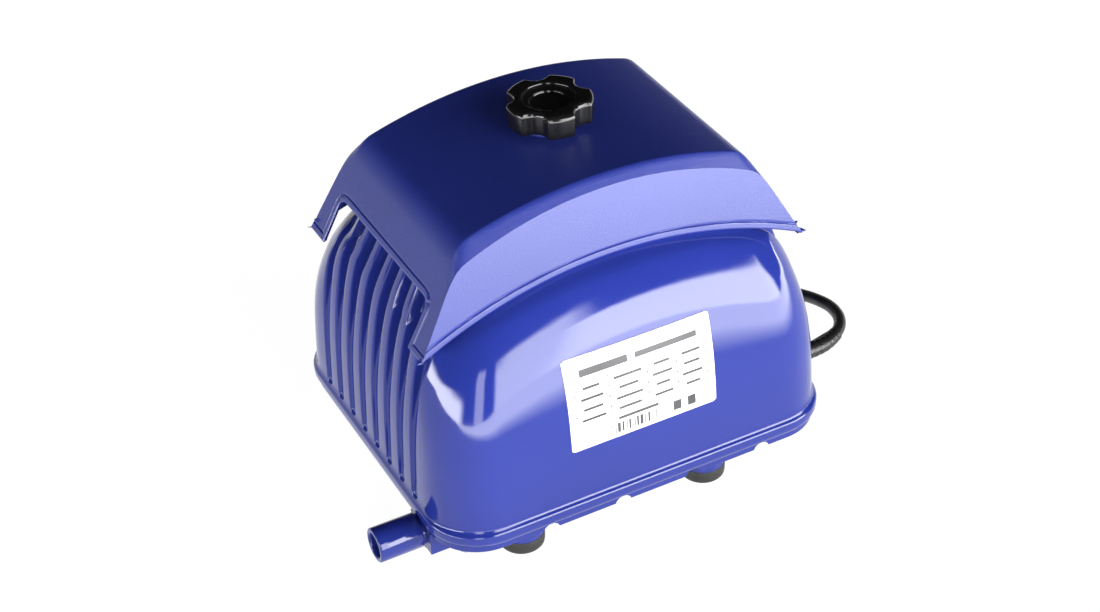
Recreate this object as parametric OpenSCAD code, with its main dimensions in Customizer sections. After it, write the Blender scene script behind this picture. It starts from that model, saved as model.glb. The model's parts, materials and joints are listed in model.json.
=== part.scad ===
// Linear diaphragm air pump for ponds and aquariums.
// The x axis runs along the armature shaft, y from front to back, z up from the floor.

/* [Housing] */
// Overall length of the housing at its bottom rim
body_l = 220; // [205:1:270]
// Overall depth of the housing at its bottom rim
body_w = 190; // [180:1:240]
// Height of the housing from the rim to its crown
housing_h = 138; // [134:1:180]
// Height of the rim's lower edge above the floor
rim_z = 22; // [22:0.5:30]
// Corner radius of the housing seen from above
corner_r = 29; // [24:1:34]
// Wall thickness of the housing
wall = 3; // [2:0.1:4]
// Thickness of the ledge that the filter tray rests on
ledge_t = 3; // [2:0.1:4]

/* [End grooves] */
// Grooves in each end of the housing
groove_count = 8; // [4:2:8]
// Distance between neighbouring grooves
groove_pitch = 14.9; // [12:0.1:15]
// Width of a groove at its foot
groove_w = 6; // [4:0.1:7]
// Extra width that a groove gains towards its top
groove_flare = 2.4; // [0:0.1:3]

/* [Cover] */
// Distance from the end of the rim to the end lip of the cover
cover_end_inset = 6.3; // [5:0.1:9]
// Distance from the side of the rim to the side lip of the cover
cover_side_inset = 29.7; // [28:0.1:31]
// Height of the cover's crown above the housing's crown
cover_headroom = 21.4; // [20:0.2:40]
// Wall thickness of the cover
cover_wall = 2.5; // [2:0.1:3]
// Radius of the crown along the length
crown_r = 233; // [220:1:320]
// Height of the cover's side wall below the crown at mid length
cover_side_h = 39; // [36:0.5:42]
// Lean of the cover's end walls from upright, in degrees
cover_end_lean = 29; // [26:0.5:31]
// Width of the legs on both sides of the air gap in each end wall
cover_leg_w = 15.5; // [12:0.5:20]
// Height of the air gap in each end wall
cover_gap_h = 22; // [14:0.5:24]
// Lift of the cover when it is taken off for cleaning
cover_lift = 60; // [20:1:120]

/* [Knob] */
// Diameter of the knob over its lobes
knob_d = 43; // [36:0.5:50]
// Height of the knob
knob_h = 12.2; // [10:0.2:18]
// Lobes around the knob
knob_lobes = 5; // [4:1:8]
// Diameter of the stud in the knob
stud_d = 8; // [6:0.5:9]
// Rise of the knob for one turn
thread_pitch = 1.25; // [1:0.05:1.5]

/* [Outlet] */
// Outside diameter of the outlet pipe
outlet_od = 18; // [16:0.5:19]
// Bore of the outlet pipe
outlet_id = 12.6; // [10:0.2:13]
// Length of the pipe outside the rim
outlet_reach = 23; // [18:1:40]
// Place of the pipe's axis along the depth, from the middle
outlet_y = -55; // [-60:0.5:-50]
// Height of the pipe's axis above the floor
outlet_z = 12.5; // [12:0.1:12.5]

/* [Feet] */
// Diameter of a rubber foot
foot_d = 17.5; // [14:0.5:20]
// Height of a foot below its boss
foot_h = 4; // [3:0.5:5]
// Places of the feet along the length, from the middle
foot_x = [-63, 41];
// Distance of the feet from the middle along the depth
foot_y = 75; // [70:0.5:78]

/* [Drive] */
// Height of the armature shaft above the floor
shaft_z = 88; // [86:0.5:92]
// Diameter of the armature shaft
shaft_d = 8; // [6:0.5:9]
// Travel of the armature each way from rest
stroke = 2.5; // [1:0.1:2.6]
// Outside diameter of a diaphragm and its head
head_d = 58; // [54:0.5:60]
// Rubber thickness of a diaphragm
diaphragm_t = 2; // [1.5:0.1:2.2]
// Air gap between a magnet and the stator legs
magnet_gap = 1; // [0.5:0.1:1.5]
// Stack height of the stator laminations
stack_h = 28; // [20:1:32]
// Opening angle of the valve flaps, in degrees
flap_angle = 12; // [5:1:14]

/* [Label] */
// Length of the rating label
label_l = 80; // [50:1:90]
// Height of the rating label along the wall
label_h = 49; // [30:1:52]

/* [Mains lead] */
// Diameter of the mains lead
cord_d = 6.5; // [6:0.1:7]
// Coil diameter at the middle of its turns
coil_d = 77; // [66:1:78]
// Width of the coil's winding
coil_band = 14; // [13:0.5:20]
// Height of the coil's winding
coil_h = 20; // [13:0.5:27]

/* [Hidden] */

$fn = 48;

rim_hx = body_l / 2;
rim_hy = body_w / 2;
// the origin is under the middle of the whole pump, and the housing stands beside it
body_x = outlet_reach / 2;
crown_z = rim_z + housing_h;
clearance = 0.05;
touch_gap = 0.3;

// ---- housing outline -------------------------------------------------------------------
// Each station is height above the rim, inset of the ends, inset of the sides, groove depth
// and how far the level follows the crown's arc.
nominal_h = 138;
stations = [
    [0, 0.8, 0.8, 0], [2, 0, 0, 0], [5.5, 0, 0, 0], [7.7, 1.2, 1.7, 0], [10, 1.6, 2.2, 1.2],
    [18, 1.9, 2.4, 1.6], [38, 3, 3, 1.9], [58, 4.5, 5, 2.6], [78, 6.2, 9, 4.2], [98, 8.6, 16, 6],
    [108, 10.6, 22.5, 7.2], [114, 12.4, 28, 8], [119, 14.8, 36, 8.5], [128, 20.8, 39, 9],
    [138, 27.5, 40, 9]];
inner_stations = [13, 12, 10, 9, 8, 7, 6, 5, 0];
sag_start = 38;
sag_end = 119;
lip_arc_r = 242;
end_edge_y = 58;
corner_steps = 5;
side_steps = 5;
groove_side = 0.8;
groove_spread = 1.5;

// filter well in the housing's top
ledge_z = crown_z - 10;
well_hx = 70;
well_hy = 44;
ledge_w = 8;

function smooth(s) = let (c = min(1, max(0, s))) c * c * (3 - 2 * c);
function arc_drop(x, r) = r - sqrt(r * r - x * x);
function level(h) = rim_z + h * housing_h / nominal_h;
function sag(h) = smooth((h - sag_start) / (sag_end - sag_start));
function groove_width(h) = groove_w + groove_flare * smooth(h / sag_end);

function corner_x(y, hx, hy, r) =
    y <= hy - r ? hx : hx - r + sqrt(max(0, r * r - pow(y - hy + r, 2)));

// points of one end, from front to back, with its grooves
function end_points(hx, hy, r, k, w, depth) = [
    for (i = [0 : groove_count - 1])
    let (yc = (i - (groove_count - 1) / 2) * groove_pitch)
    for (p = [[-w / 2, 0], [-w / 2 + groove_side, depth], [w / 2 - groove_side, depth], [w / 2, 0]])
    let (y = (yc + p[0]) * k)
    [corner_x(abs(y), hx, hy, r) - p[1], y]];

function corner_points(hx, hy, r, k) =
    let (a0 = asin(min(0.95, max(0, (end_edge_y * k - hy + r) / r))))
    [for (j = [0 : corner_steps]) let (a = a0 + (90 - a0) * j / corner_steps)
        [hx - r + r * cos(a), hy - r + r * sin(a)]];

function flip_x(points) = [for (i = [len(points) - 1 : -1 : 0]) [-points[i][0], points[i][1]]];

function half_outline(hx, hy, r, depth, w) =
    let (k = min(1, (hy - 3) / end_edge_y), corner = corner_points(hx, hy, r, k))
    concat(end_points(hx, hy, r, k, w, depth), corner,
        [for (i = [1 : side_steps - 1]) [(hx - r) * (1 - 2 * i / side_steps), hy]],
        flip_x(corner));

// one closed level of the housing, counter-clockwise from above
function ring(hx, hy, r, depth, w, z, s) =
    let (half = half_outline(hx, hy, r, depth, w))
    [for (p = concat(half, -half)) [p[0], p[1], z - s * arc_drop(p[0], lip_arc_r)]];

function outer_ring(i) = let (s = stations[i])
    ring(rim_hx - s[1], rim_hy - s[2], corner_r, s[3], groove_width(s[0]), level(s[0]), sag(s[0]));
function inner_ring(i) = let (s = stations[i])
    ring(rim_hx - s[1] - wall, rim_hy - s[2] - wall, corner_r - wall, s[3],
        groove_width(s[0]) + groove_spread, level(s[0]), sag(s[0]));
function well_ring(hx, hy, z, s) = ring(hx, hy, 12, 0, groove_w, z, s);

housing_rings = concat(
    [for (i = [0 : len(stations) - 1]) outer_ring(i)],
    [well_ring(well_hx, well_hy, ledge_z, 0),
        well_ring(well_hx - ledge_w, well_hy - ledge_w, ledge_z, 0),
        well_ring(well_hx - ledge_w, well_hy - ledge_w, ledge_z - ledge_t, 0),
        well_ring(well_hx + 1, well_hy + 1, ledge_z - ledge_t, 0),
        ring(rim_hx - 27.5 - wall, rim_hy - 40 - wall, corner_r - wall, 9, groove_w,
            ledge_z + 3, 1)],
    [for (i = inner_stations) inner_ring(i)]);

// a closed skin over rings of equal length, the last ring joined to the first
module ring_skin(rings, closed) {
    n = len(rings[0]);
    count = len(rings);
    sides = [for (k = [0 : closed ? count - 1 : count - 2], i = [0 : n - 1])
        let (a = k * n, b = ((k + 1) % count) * n, j = (i + 1) % n)
        [a + i, b + i, b + j, a + j]];
    caps = closed ? [] : [[for (i = [0 : n - 1]) i],
        [for (i = [n - 1 : -1 : 0]) (count - 1) * n + i]];
    polyhedron(points = [for (r = rings) each r], faces = concat(sides, caps), convexity = 12);
}

// ---- small helpers ---------------------------------------------------------------------
module at_body() {
    translate([body_x, 0, 0]) children();
}

module rounded_rect(hx, hy, r) {
    square([2 * hx, 2 * (hy - r)], center = true);
    square([2 * (hx - r), 2 * hy], center = true);
    for (x = [-1, 1], y = [-1, 1])
        translate([x * (hx - r), y * (hy - r)]) circle(r);
}

module rounded_slab(hx, hy, r, z0, z1) {
    translate([0, 0, z0]) linear_extrude(z1 - z0) rounded_rect(hx, hy, r);
}

module block(x0, x1, y0, y1, z0, z1) {
    translate([x0, y0, z0]) cube([x1 - x0, y1 - y0, z1 - z0]);
}

module post(x, y, z0, z1, d) {
    translate([x, y, z0]) cylinder(h = z1 - z0, d = d);
}

module tube(x, y, z0, z1, outer_d, inner_d) {
    difference() {
        post(x, y, z0, z1, outer_d);
        post(x, y, z0 - 1, z1 + 1, inner_d);
    }
}

// a round bar along x
module bar_x(x0, x1, y, z, d) {
    translate([x0, y, z]) rotate([0, 90, 0]) cylinder(h = x1 - x0, d = d);
}

// the left end of the drive is the right end turned round
module to_end(side) {
    translate([0, 0, shaft_z]) rotate([0, 0, side > 0 ? 0 : 180]) children();
}

// ---- housing and base ------------------------------------------------------------------
post_x = rim_hx - wall - 11.3;
post_y = rim_hy - wall - 11.3;
post_h = 22;
post_d = 9;
screw_d = 4;
screw_head_d = 7.5;
gland_y = -60;
gland_z = 38;
gland_d = 9;

module corners(x, y) {
    for (i = [-1, 1], j = [-1, 1]) translate([i * x, j * y, 0]) children();
}

module housing() {
    at_body() color("#2b35a0") difference() {
        union() {
            ring_skin(housing_rings, true);
            corners(post_x, post_y) post(0, 0, rim_z, rim_z + post_h, post_d);
        }
        corners(post_x, post_y) post(0, 0, rim_z - 1, rim_z + post_h - 3, screw_d);
        bar_x(rim_hx - 20, rim_hx + 1, gland_y, gland_z, gland_d);
    }
}

gasket_t = 0.8;
gasket_w = 3;
tray_inset = 2.2;
tray_r = corner_r - tray_inset;
tray_top = rim_z - gasket_t;
tray_skirt_z = tray_top - 3.7;
pan_inset = tray_inset + 7.8;
pan_z = tray_skirt_z - 4;
tray_floor_z = pan_z + 3;
boss_z = foot_h;
scoop_pitch = 40;
scoop_x = -15;
scoop_d = 9.2;
outlet_port_x = -rim_hx + 22;
outlet_boss_hw = outlet_od / 2 + 2;
outlet_boss_x = [-rim_hx + 2, -rim_hx + 32];
spigot_d = outlet_od - 2;
elbow_id = 7;
elbow_od = 10;

module base_tray() {
    at_body() color("#2c36a2") difference() {
        union() {
            rounded_slab(rim_hx - tray_inset, rim_hy - tray_inset, tray_r, tray_skirt_z, tray_top);
            rounded_slab(rim_hx - pan_inset, rim_hy - pan_inset, 20, pan_z, tray_skirt_z + 1);
            for (x = foot_x, y = [-foot_y, foot_y]) post(x, y, boss_z, tray_floor_z, foot_d + 5);
            block(outlet_boss_x[0], outlet_boss_x[1], outlet_y - outlet_boss_hw,
                outlet_y + outlet_boss_hw, outlet_z - outlet_od / 2, tray_floor_z);
            bar_x(outlet_boss_x[0], outlet_boss_x[1], outlet_y, outlet_z, outlet_od + 3);
        }
        difference() {
            rounded_slab(rim_hx - pan_inset - 3, rim_hy - pan_inset - 3, 17, tray_floor_z, rim_z);
            bar_x(outlet_boss_x[0], outlet_boss_x[1], outlet_y, outlet_z, outlet_od + 3);
        }
        block(-rim_hx, -rim_hx + 40, outlet_y - 12, outlet_y + 12, tray_top, rim_z + 9);
        corners(post_x, post_y) {
            post(0, 0, pan_z - 1, rim_z, screw_d);
            post(0, 0, pan_z - 1, tray_skirt_z, screw_head_d + 1);
        }
        for (i = [-1 : 2], j = [-1, 1])
            translate([scoop_x + i * scoop_pitch, j * (rim_hy - tray_inset + 1), tray_skirt_z - 1.4])
                rotate([j * 90, 0, 0]) cylinder(h = 6, d = scoop_d);
        bar_x(-rim_hx - 1, outlet_boss_x[1] - 4, outlet_y, outlet_z, spigot_d);
        post(outlet_port_x, outlet_y, outlet_z, rim_z + 9, elbow_id);
        for (x = foot_x, y = [-foot_y, foot_y]) post(x, y, boss_z - 1, boss_z + 5, 8);
    }
}

module base_gasket() {
    at_body() color("#1c1c1c") difference() {
        rounded_slab(rim_hx - tray_inset, rim_hy - tray_inset, tray_r, tray_top, rim_z);
        rounded_slab(rim_hx - tray_inset - gasket_w, rim_hy - tray_inset - gasket_w,
            tray_r - gasket_w, tray_top - 1, rim_z + 1);
    }
}

module screw_up(z_head, z_tip, d, head_d, head_h) {
    post(0, 0, z_head - head_h, z_head, head_d);
    post(0, 0, z_head - 0.01, z_tip, d);
}

module base_screws() {
    at_body() color("silver") corners(post_x, post_y)
        screw_up(tray_skirt_z, rim_z + post_h - 6, screw_d, screw_head_d, 2.8);
}

module outlet_pipe() {
    at_body() color("#2c36a2") difference() {
        union() {
            bar_x(-rim_hx - outlet_reach, -rim_hx, outlet_y, outlet_z, outlet_od);
            bar_x(-rim_hx - 0.01, outlet_boss_x[1] - 4, outlet_y, outlet_z, spigot_d);
        }
        bar_x(-rim_hx - outlet_reach - 1, outlet_boss_x[1] - 6, outlet_y, outlet_z, outlet_id);
        post(outlet_port_x, outlet_y, outlet_z, outlet_z + 20, elbow_id);
    }
}

module foot(x, y) {
    at_body() color("#151515") {
        post(x, y, 0, boss_z, foot_d);
        post(x, y, boss_z - 0.01, boss_z + 5, 8);
    }
}

module foot_front_left() { foot(foot_x[0], -foot_y); }
module foot_front_right() { foot(foot_x[1], -foot_y); }
module foot_rear_left() { foot(foot_x[0], foot_y); }
module foot_rear_right() { foot(foot_x[1], foot_y); }

// ---- cover and knob --------------------------------------------------------------------
cover_z = crown_z + cover_headroom;
cover_hx = rim_hx - cover_end_inset;
cover_hy = rim_hy - cover_side_inset;
edge_drop = 6.9;
edge_in = 6.4;
side_lean = 8.15;
lip_mid_z = cover_z - cover_side_h;
lip_end_z = lip_mid_z - arc_drop(cover_hx, lip_arc_r);
crease_end_z = lip_end_z + 42.6;
crease_y = cover_hy - (crease_end_z - lip_end_z) * tan(side_lean);
knob_boss_d = 26;
knob_boss_z = cover_z + 1.6;
washer_t = 1;
knob_z = knob_boss_z + washer_t;
stud_hole_d = stud_d + 1;
insert_l = 12;
insert_od = stud_d + 4;

// the arched top with its sloping long edges, t inside the outer face
module cover_arch(t) {
    r = crown_r - t;
    y = crease_y - t;
    spread = 25;
    translate([0, 0, cover_z - crown_r]) rotate([90, 0, 0]) rotate([0, 0, 90 - 40])
        rotate_extrude(angle = 80, $fn = 96) polygon([[r - edge_drop - spread, -y - spread],
            [r - edge_drop, -y], [r, -y + edge_in], [r, y - edge_in], [r - edge_drop, y],
            [r - edge_drop - spread, y + spread], [r - 90, y + spread], [r - 90, -y - spread]]);
}

// the end view: side walls that lean out towards the lip
module cover_sides(t) {
    z0 = lip_end_z - 20;
    y0 = cover_hy - t + (lip_end_z - z0) * tan(side_lean);
    y1 = cover_hy - t - (cover_z + 5 - lip_end_z) * tan(side_lean);
    rotate([90, 0, 90]) linear_extrude(2 * body_l, center = true)
        polygon([[-y0, z0], [y0, z0], [y1, cover_z + 5], [-y1, cover_z + 5]]);
}

// the front view: leaning ends, the bottom open or cut to the arc of the lip
module cover_front(t, z0) {
    x0 = cover_hx - t / cos(cover_end_lean) + (lip_end_z - z0) * tan(cover_end_lean);
    x1 = cover_hx - t / cos(cover_end_lean) - (cover_z + 5 - lip_end_z) * tan(cover_end_lean);
    rotate([90, 0, 0]) linear_extrude(2 * body_w, center = true) difference() {
        polygon([[-x0, z0], [x0, z0], [x1, cover_z + 5], [-x1, cover_z + 5]]);
        if (t == 0) translate([0, lip_mid_z - lip_arc_r]) circle(lip_arc_r, $fn = 96);
    }
}

module top_cover() {
    at_body() color("#27309b") difference() {
        union() {
            difference() {
                intersection() {
                    cover_arch(0);
                    cover_sides(0);
                    cover_front(0, lip_end_z);
                }
                intersection() {
                    cover_arch(cover_wall);
                    cover_sides(cover_wall);
                    cover_front(cover_wall, lip_end_z - 5);
                }
            }
            post(0, 0, cover_z - cover_wall, knob_boss_z, knob_boss_d);
        }
        post(0, 0, cover_z - 20, knob_boss_z + 1, stud_hole_d);
        for (side = [-1, 1]) block(side * (cover_hx - 17) - 21, side * (cover_hx - 17) + 21,
            -cover_hy + cover_leg_w, cover_hy - cover_leg_w, lip_end_z - 1, lip_end_z + cover_gap_h);
    }
}

knob_valley_d = 15;
knob_valley_r = knob_d / 2 + 3.2;

module knob() {
    at_body() color("#0c0c0e") difference() {
        post(0, 0, knob_z, knob_z + knob_h, knob_d);
        for (i = [0 : knob_lobes - 1]) rotate([0, 0, (i + 0.5) * 360 / knob_lobes + 43.5])
            post(knob_valley_r, 0, knob_z - 1, knob_z + knob_h + 1, knob_valley_d);
        post(0, 0, knob_z + knob_h - 2.5, knob_z + knob_h + 1, 0.6 * knob_d);
        post(0, 0, knob_z + knob_h - 4, knob_z + knob_h + 1, 0.45 * knob_d);
        post(0, 0, knob_z - 1, knob_z + knob_h - 6, stud_d);
    }
}

insert_top = ledge_z + 3;
stud_tip = insert_top - insert_l - 4;

module knob_stud() {
    at_body() color("silver") post(0, 0, stud_tip, knob_z + knob_h - 6, stud_d);
}

module knob_washer() {
    at_body() color("silver")
        tube(0, 0, knob_boss_z, knob_z, knob_boss_d - 6, stud_d + 2 * clearance);
}

module threaded_insert() {
    at_body() color("goldenrod")
        tube(0, 0, insert_top - insert_l, insert_top, insert_od, stud_d + 2 * clearance);
}

// ---- filter ----------------------------------------------------------------------------
tray_t = 3;
filter_gap = 1;
foam_h = 12;
port_x = -34;
port_d = 18;

module filter_tray() {
    at_body() color("#22222a") difference() {
        union() {
            rounded_slab(well_hx - filter_gap, well_hy - filter_gap, 11, ledge_z, ledge_z + tray_t);
            post(0, 0, insert_top - insert_l, ledge_z + tray_t, insert_od + 6);
        }
        post(0, 0, insert_top - insert_l - 1, ledge_z + tray_t + 1, insert_od);
        post(port_x, 0, ledge_z - 1, ledge_z + tray_t + 1, port_d);
    }
}

module filter_foam() {
    at_body() color("#3a3a3a") difference() {
        rounded_slab(well_hx - 6, well_hy - 6, 9, ledge_z + tray_t, ledge_z + tray_t + foam_h);
        post(0, 0, ledge_z, ledge_z + tray_t + foam_h + 1, stud_d + 6);
    }
}

// ---- label -----------------------------------------------------------------------------
label_t = 0.3;
label_gap = 0.1;
label_z = rim_z + 37;
label_x = -2;
label_steps = [6, 8];
side_insets = [for (s = stations) [s[0], s[2]]];

// station height that a point of the side wall belongs to, by repeated substitution
function station_h(x, z, h, n) = n == 0 ? h :
    station_h(x, z, (z + sag(h) * arc_drop(x, lip_arc_r) - rim_z) * nominal_h / housing_h, n - 1);
function side_y(x, z) = rim_hy - lookup(station_h(x, z, z - rim_z, 6), side_insets);

function label_point(i, j, t) =
    let (x = label_x + label_l * (i / label_steps[0] - 0.5),
        z = label_z + label_h * j / label_steps[1]) [x, -side_y(x, z) - t, z];

// a thin sheet that follows the front wall, built as narrow upright strips joined edge to edge
module rating_label() {
    n = label_steps[0];
    m = label_steps[1];
    w = n + 1;
    back = w * (m + 1);
    points = [for (t = [label_t + label_gap, label_gap], j = [0 : m], i = [0 : n])
        label_point(i, j, t)];
    front_faces = [for (j = [0 : m - 1], i = [0 : n - 1]) let (a = j * w + i)
        [a, a + w, a + w + 1, a + 1]];
    back_faces = [for (f = front_faces) [back + f[3], back + f[2], back + f[1], back + f[0]]];
    side_faces = [for (j = [0 : m - 1]) let (a = j * w, b = a + n) each
        [[a, back + a, back + a + w, a + w], [b + w, back + b + w, back + b, b]]];
    end_faces = [for (i = [0 : n - 1]) let (b = m * w + i) each
        [[i, i + 1, back + i + 1, back + i], [b + 1, b, back + b, back + b + 1]]];
    at_body() color("white") polyhedron(points, concat(front_faces, back_faces, side_faces, end_faces));
}

// ---- air chamber under the drive -------------------------------------------------------
frame_hx = 47;
ring_x = frame_hx;
ring_t = 6;
film_x = ring_x + ring_t;
head_x = film_x + diaphragm_t;
bowl_depth = 11;
valve_wall = 3;
air_space = 6;
cap_x = head_x + bowl_depth + valve_wall + air_space;
cap_t = 3;
chamber_x = [outlet_boss_x[1] + 2, 80];
chamber_y = [outlet_y - 9, 44];
chamber_top = 36;
chamber_wall = 2.5;
elbow_r = 7;
elbow_z = tray_top + elbow_r;
stub_od = 10;
stub_x = cap_x - stub_od / 2;
stub_y = 6;
stub_id = 6.5;
stub_top = chamber_top + 9;

module air_chamber() {
    z0 = tray_floor_z;
    w = chamber_wall;
    at_body() color("#3c3c40") difference() {
        union() {
            block(chamber_x[0], chamber_x[1], chamber_y[0], chamber_y[1], z0, chamber_top);
            for (s = [-1, 1]) post(s * stub_x, -s * stub_y, chamber_top - 0.01, stub_top, stub_od);
        }
        block(chamber_x[0] + w, chamber_x[1] - w, chamber_y[0] + w, chamber_y[1] - w,
            z0 + w, chamber_top - w);
        for (s = [-1, 1]) post(s * stub_x, -s * stub_y, chamber_top - w - 1, stub_top + 1, stub_id);
        bar_x(chamber_x[0] - 1, chamber_x[0] + w + 1, outlet_y, elbow_z, elbow_id);
    }
}

// rubber elbow from the outlet boss up into the side of the chamber
module outlet_elbow() {
    at_body() color("#1c1c1c") {
        translate([outlet_port_x + elbow_r, outlet_y, tray_top]) rotate([90, 0, 0])
            rotate([0, 0, 90]) rotate_extrude(angle = 90) translate([elbow_r, 0]) difference() {
                circle(d = elbow_od);
                circle(d = elbow_id);
            }
        difference() {
            bar_x(outlet_port_x + elbow_r, chamber_x[0], outlet_y, elbow_z, elbow_od);
            bar_x(outlet_port_x, chamber_x[0] + 1, outlet_y, elbow_z, elbow_id);
        }
    }
}

// ---- drive unit ------------------------------------------------------------------------
mount_x = 36;
mount_y = 28;
mount_d = 14;
frame_z = chamber_top + 10;
frame_t = 3;
frame_hy = 36;
shaft_hole_d = head_d - 18;
disc_d = 28;
disc_t = 1.5;
nut_t = 4.5;
nut_d = 13;
carrier_t = 11;
magnet_t = 3;
leg_y = carrier_t / 2 + magnet_t + magnet_gap;
yoke_y = leg_y + 22;
core_back = 8;
screw_ring_d = head_d - 8;
port_y = 13.5;
hose_od = 14;

module shock_mounts() {
    at_body() color("#1a1a1a") corners(mount_x, mount_y) tube(0, 0, chamber_top, frame_z, mount_d, 4);
}

module mount_screws() {
    at_body() color("silver") corners(mount_x, mount_y) {
        post(0, 0, frame_z + frame_t, frame_z + frame_t + 2.6, 7);
        post(0, 0, chamber_top + 1, frame_z + frame_t + 0.01, 4);
    }
}

module motor_frame() {
    at_body() color("#9a9da3") difference() {
        union() {
            block(-frame_hx, frame_hx, -frame_hy, frame_hy, frame_z, frame_z + frame_t);
            for (s = [-1, 1]) block(s * (frame_hx - frame_t / 2) - frame_t / 2,
                s * (frame_hx - frame_t / 2) + frame_t / 2, -frame_hy, frame_hy,
                frame_z, shaft_z + head_d / 2);
        }
        bar_x(-frame_hx - 1, frame_hx + 1, 0, shaft_z, shaft_hole_d);
        corners(mount_x, mount_y) post(0, 0, frame_z - 1, frame_z + frame_t + 1, 4);
        for (a = [45 : 90 : 315]) translate([0, 0, shaft_z]) rotate([a, 0, 0])
            bar_x(-frame_hx - 1, frame_hx + 1, screw_ring_d / 2, 0, 3);
    }
}

module core_brackets() {
    at_body() color("#9a9da3") for (s = [-1, 1])
        block(-20, 20, s * (yoke_y + 2) - 2, s * (yoke_y + 2) + 2, frame_z + frame_t, shaft_z - stack_h / 2);
}

// E-shaped stack of laminations, its legs towards the shaft
module stator_core(side) {
    at_body() color("#6b6e75") rotate([0, 0, side > 0 ? 0 : 180])
        translate([0, 0, shaft_z - stack_h / 2]) linear_extrude(stack_h) {
            translate([-32, yoke_y]) square([64, core_back]);
            for (x = [-28, 0, 28])
                translate([x - (x == 0 ? 7 : 4), leg_y]) square([x == 0 ? 14 : 8, yoke_y - leg_y + 1]);
        }
}

module stator_core_front() { stator_core(-1); }
module stator_core_rear() { stator_core(1); }

bobbin_y0 = leg_y + 1.5;
bobbin_y1 = yoke_y - 1.5;

// a rectangular sleeve round the middle leg
module leg_sleeve(y0, y1, hx, hz, hole_x, hole_z) {
    translate([0, y1, shaft_z]) rotate([90, 0, 0]) linear_extrude(y1 - y0) difference() {
        rounded_rect(hx, hz, 3);
        square([2 * hole_x, 2 * hole_z], center = true);
    }
}

module bobbin(side) {
    hole_x = 7.2;
    hole_z = stack_h / 2 + 0.2;
    at_body() color("#d8d2c0") rotate([0, 0, side > 0 ? 0 : 180]) {
        leg_sleeve(bobbin_y0, bobbin_y1, hole_x + 1.5, hole_z + 1.5, hole_x, hole_z);
        leg_sleeve(bobbin_y0, bobbin_y0 + 1.5, 22, hole_z + 13, hole_x, hole_z);
        leg_sleeve(bobbin_y1 - 1.5, bobbin_y1, 22, hole_z + 13, hole_x, hole_z);
    }
}

module bobbin_front() { bobbin(-1); }
module bobbin_rear() { bobbin(1); }

module winding(side) {
    at_body() color("#a8562a") rotate([0, 0, side > 0 ? 0 : 180])
        leg_sleeve(bobbin_y0 + 1.5, bobbin_y1 - 1.5, 21, stack_h / 2 + 12, 8.7 + touch_gap,
            stack_h / 2 + 1.7 + touch_gap);
}

module winding_front() { winding(-1); }
module winding_rear() { winding(1); }

shaft_end = film_x + disc_t + diaphragm_t + nut_t + 0.5;

module armature_shaft() {
    at_body() color("silver") bar_x(-shaft_end, shaft_end, 0, shaft_z, shaft_d);
}

module magnet_carrier() {
    at_body() color("#b9bcc2") difference() {
        block(-30, 30, -carrier_t / 2, carrier_t / 2, shaft_z - 13, shaft_z + 13);
        bar_x(-31, 31, 0, shaft_z, shaft_d);
    }
}

module armature_magnets() {
    at_body() color("#3a3a3c") for (x = [-15, 15], s = [-1, 1])
        block(x - 10, x + 10, s * (carrier_t + magnet_t) / 2 - magnet_t / 2,
            s * (carrier_t + magnet_t) / 2 + magnet_t / 2, shaft_z - 11, shaft_z + 11);
}

module shaft_nuts() {
    at_body() color("silver") for (s = [-1, 1]) to_end(s) difference() {
        translate([head_x + disc_t, 0, 0]) rotate([0, 90, 0]) cylinder(h = nut_t, d = nut_d / cos(30), $fn = 6);
        bar_x(0, 100, 0, 0, shaft_d);
    }
}

module clamp_discs() {
    at_body() color("silver") for (s = [-1, 1]) to_end(s) difference() {
        union() {
            bar_x(film_x - disc_t, film_x, 0, 0, disc_d);
            bar_x(head_x, head_x + disc_t, 0, 0, disc_d);
        }
        bar_x(0, 100, 0, 0, shaft_d);
    }
}

// a rubber disc with one rolled fold between its clamped middle and its rim
module diaphragm(side) {
    fold_r = (disc_d / 2 + head_d / 2 - 7) / 2;
    at_body() color("#202020") to_end(side) difference() {
        translate([film_x, 0, 0]) rotate([0, 90, 0]) rotate_extrude() difference() {
            union() {
                translate([shaft_d / 2, 0]) square([head_d / 2 - shaft_d / 2, diaphragm_t]);
                translate([fold_r, 0]) circle(2.2);
            }
            translate([fold_r, -0.9]) circle(1.4);
        }
        screw_holes(film_x - 1, head_x + 1, 3);
    }
}

module diaphragm_left() { diaphragm(-1); }
module diaphragm_right() { diaphragm(1); }

module screw_holes(x0, x1, d) {
    for (a = [45 : 90 : 315]) rotate([a, 0, 0]) bar_x(x0, x1, screw_ring_d / 2, 0, d);
}

module diaphragm_ring(side) {
    at_body() color("#9a9da3") to_end(side) difference() {
        bar_x(ring_x, film_x, 0, 0, head_d);
        bar_x(ring_x - 1, film_x + 1, 0, 0, head_d - 14);
        screw_holes(ring_x - 1, film_x + 1, 3);
    }
}

module diaphragm_ring_left() { diaphragm_ring(-1); }
module diaphragm_ring_right() { diaphragm_ring(1); }

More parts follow.
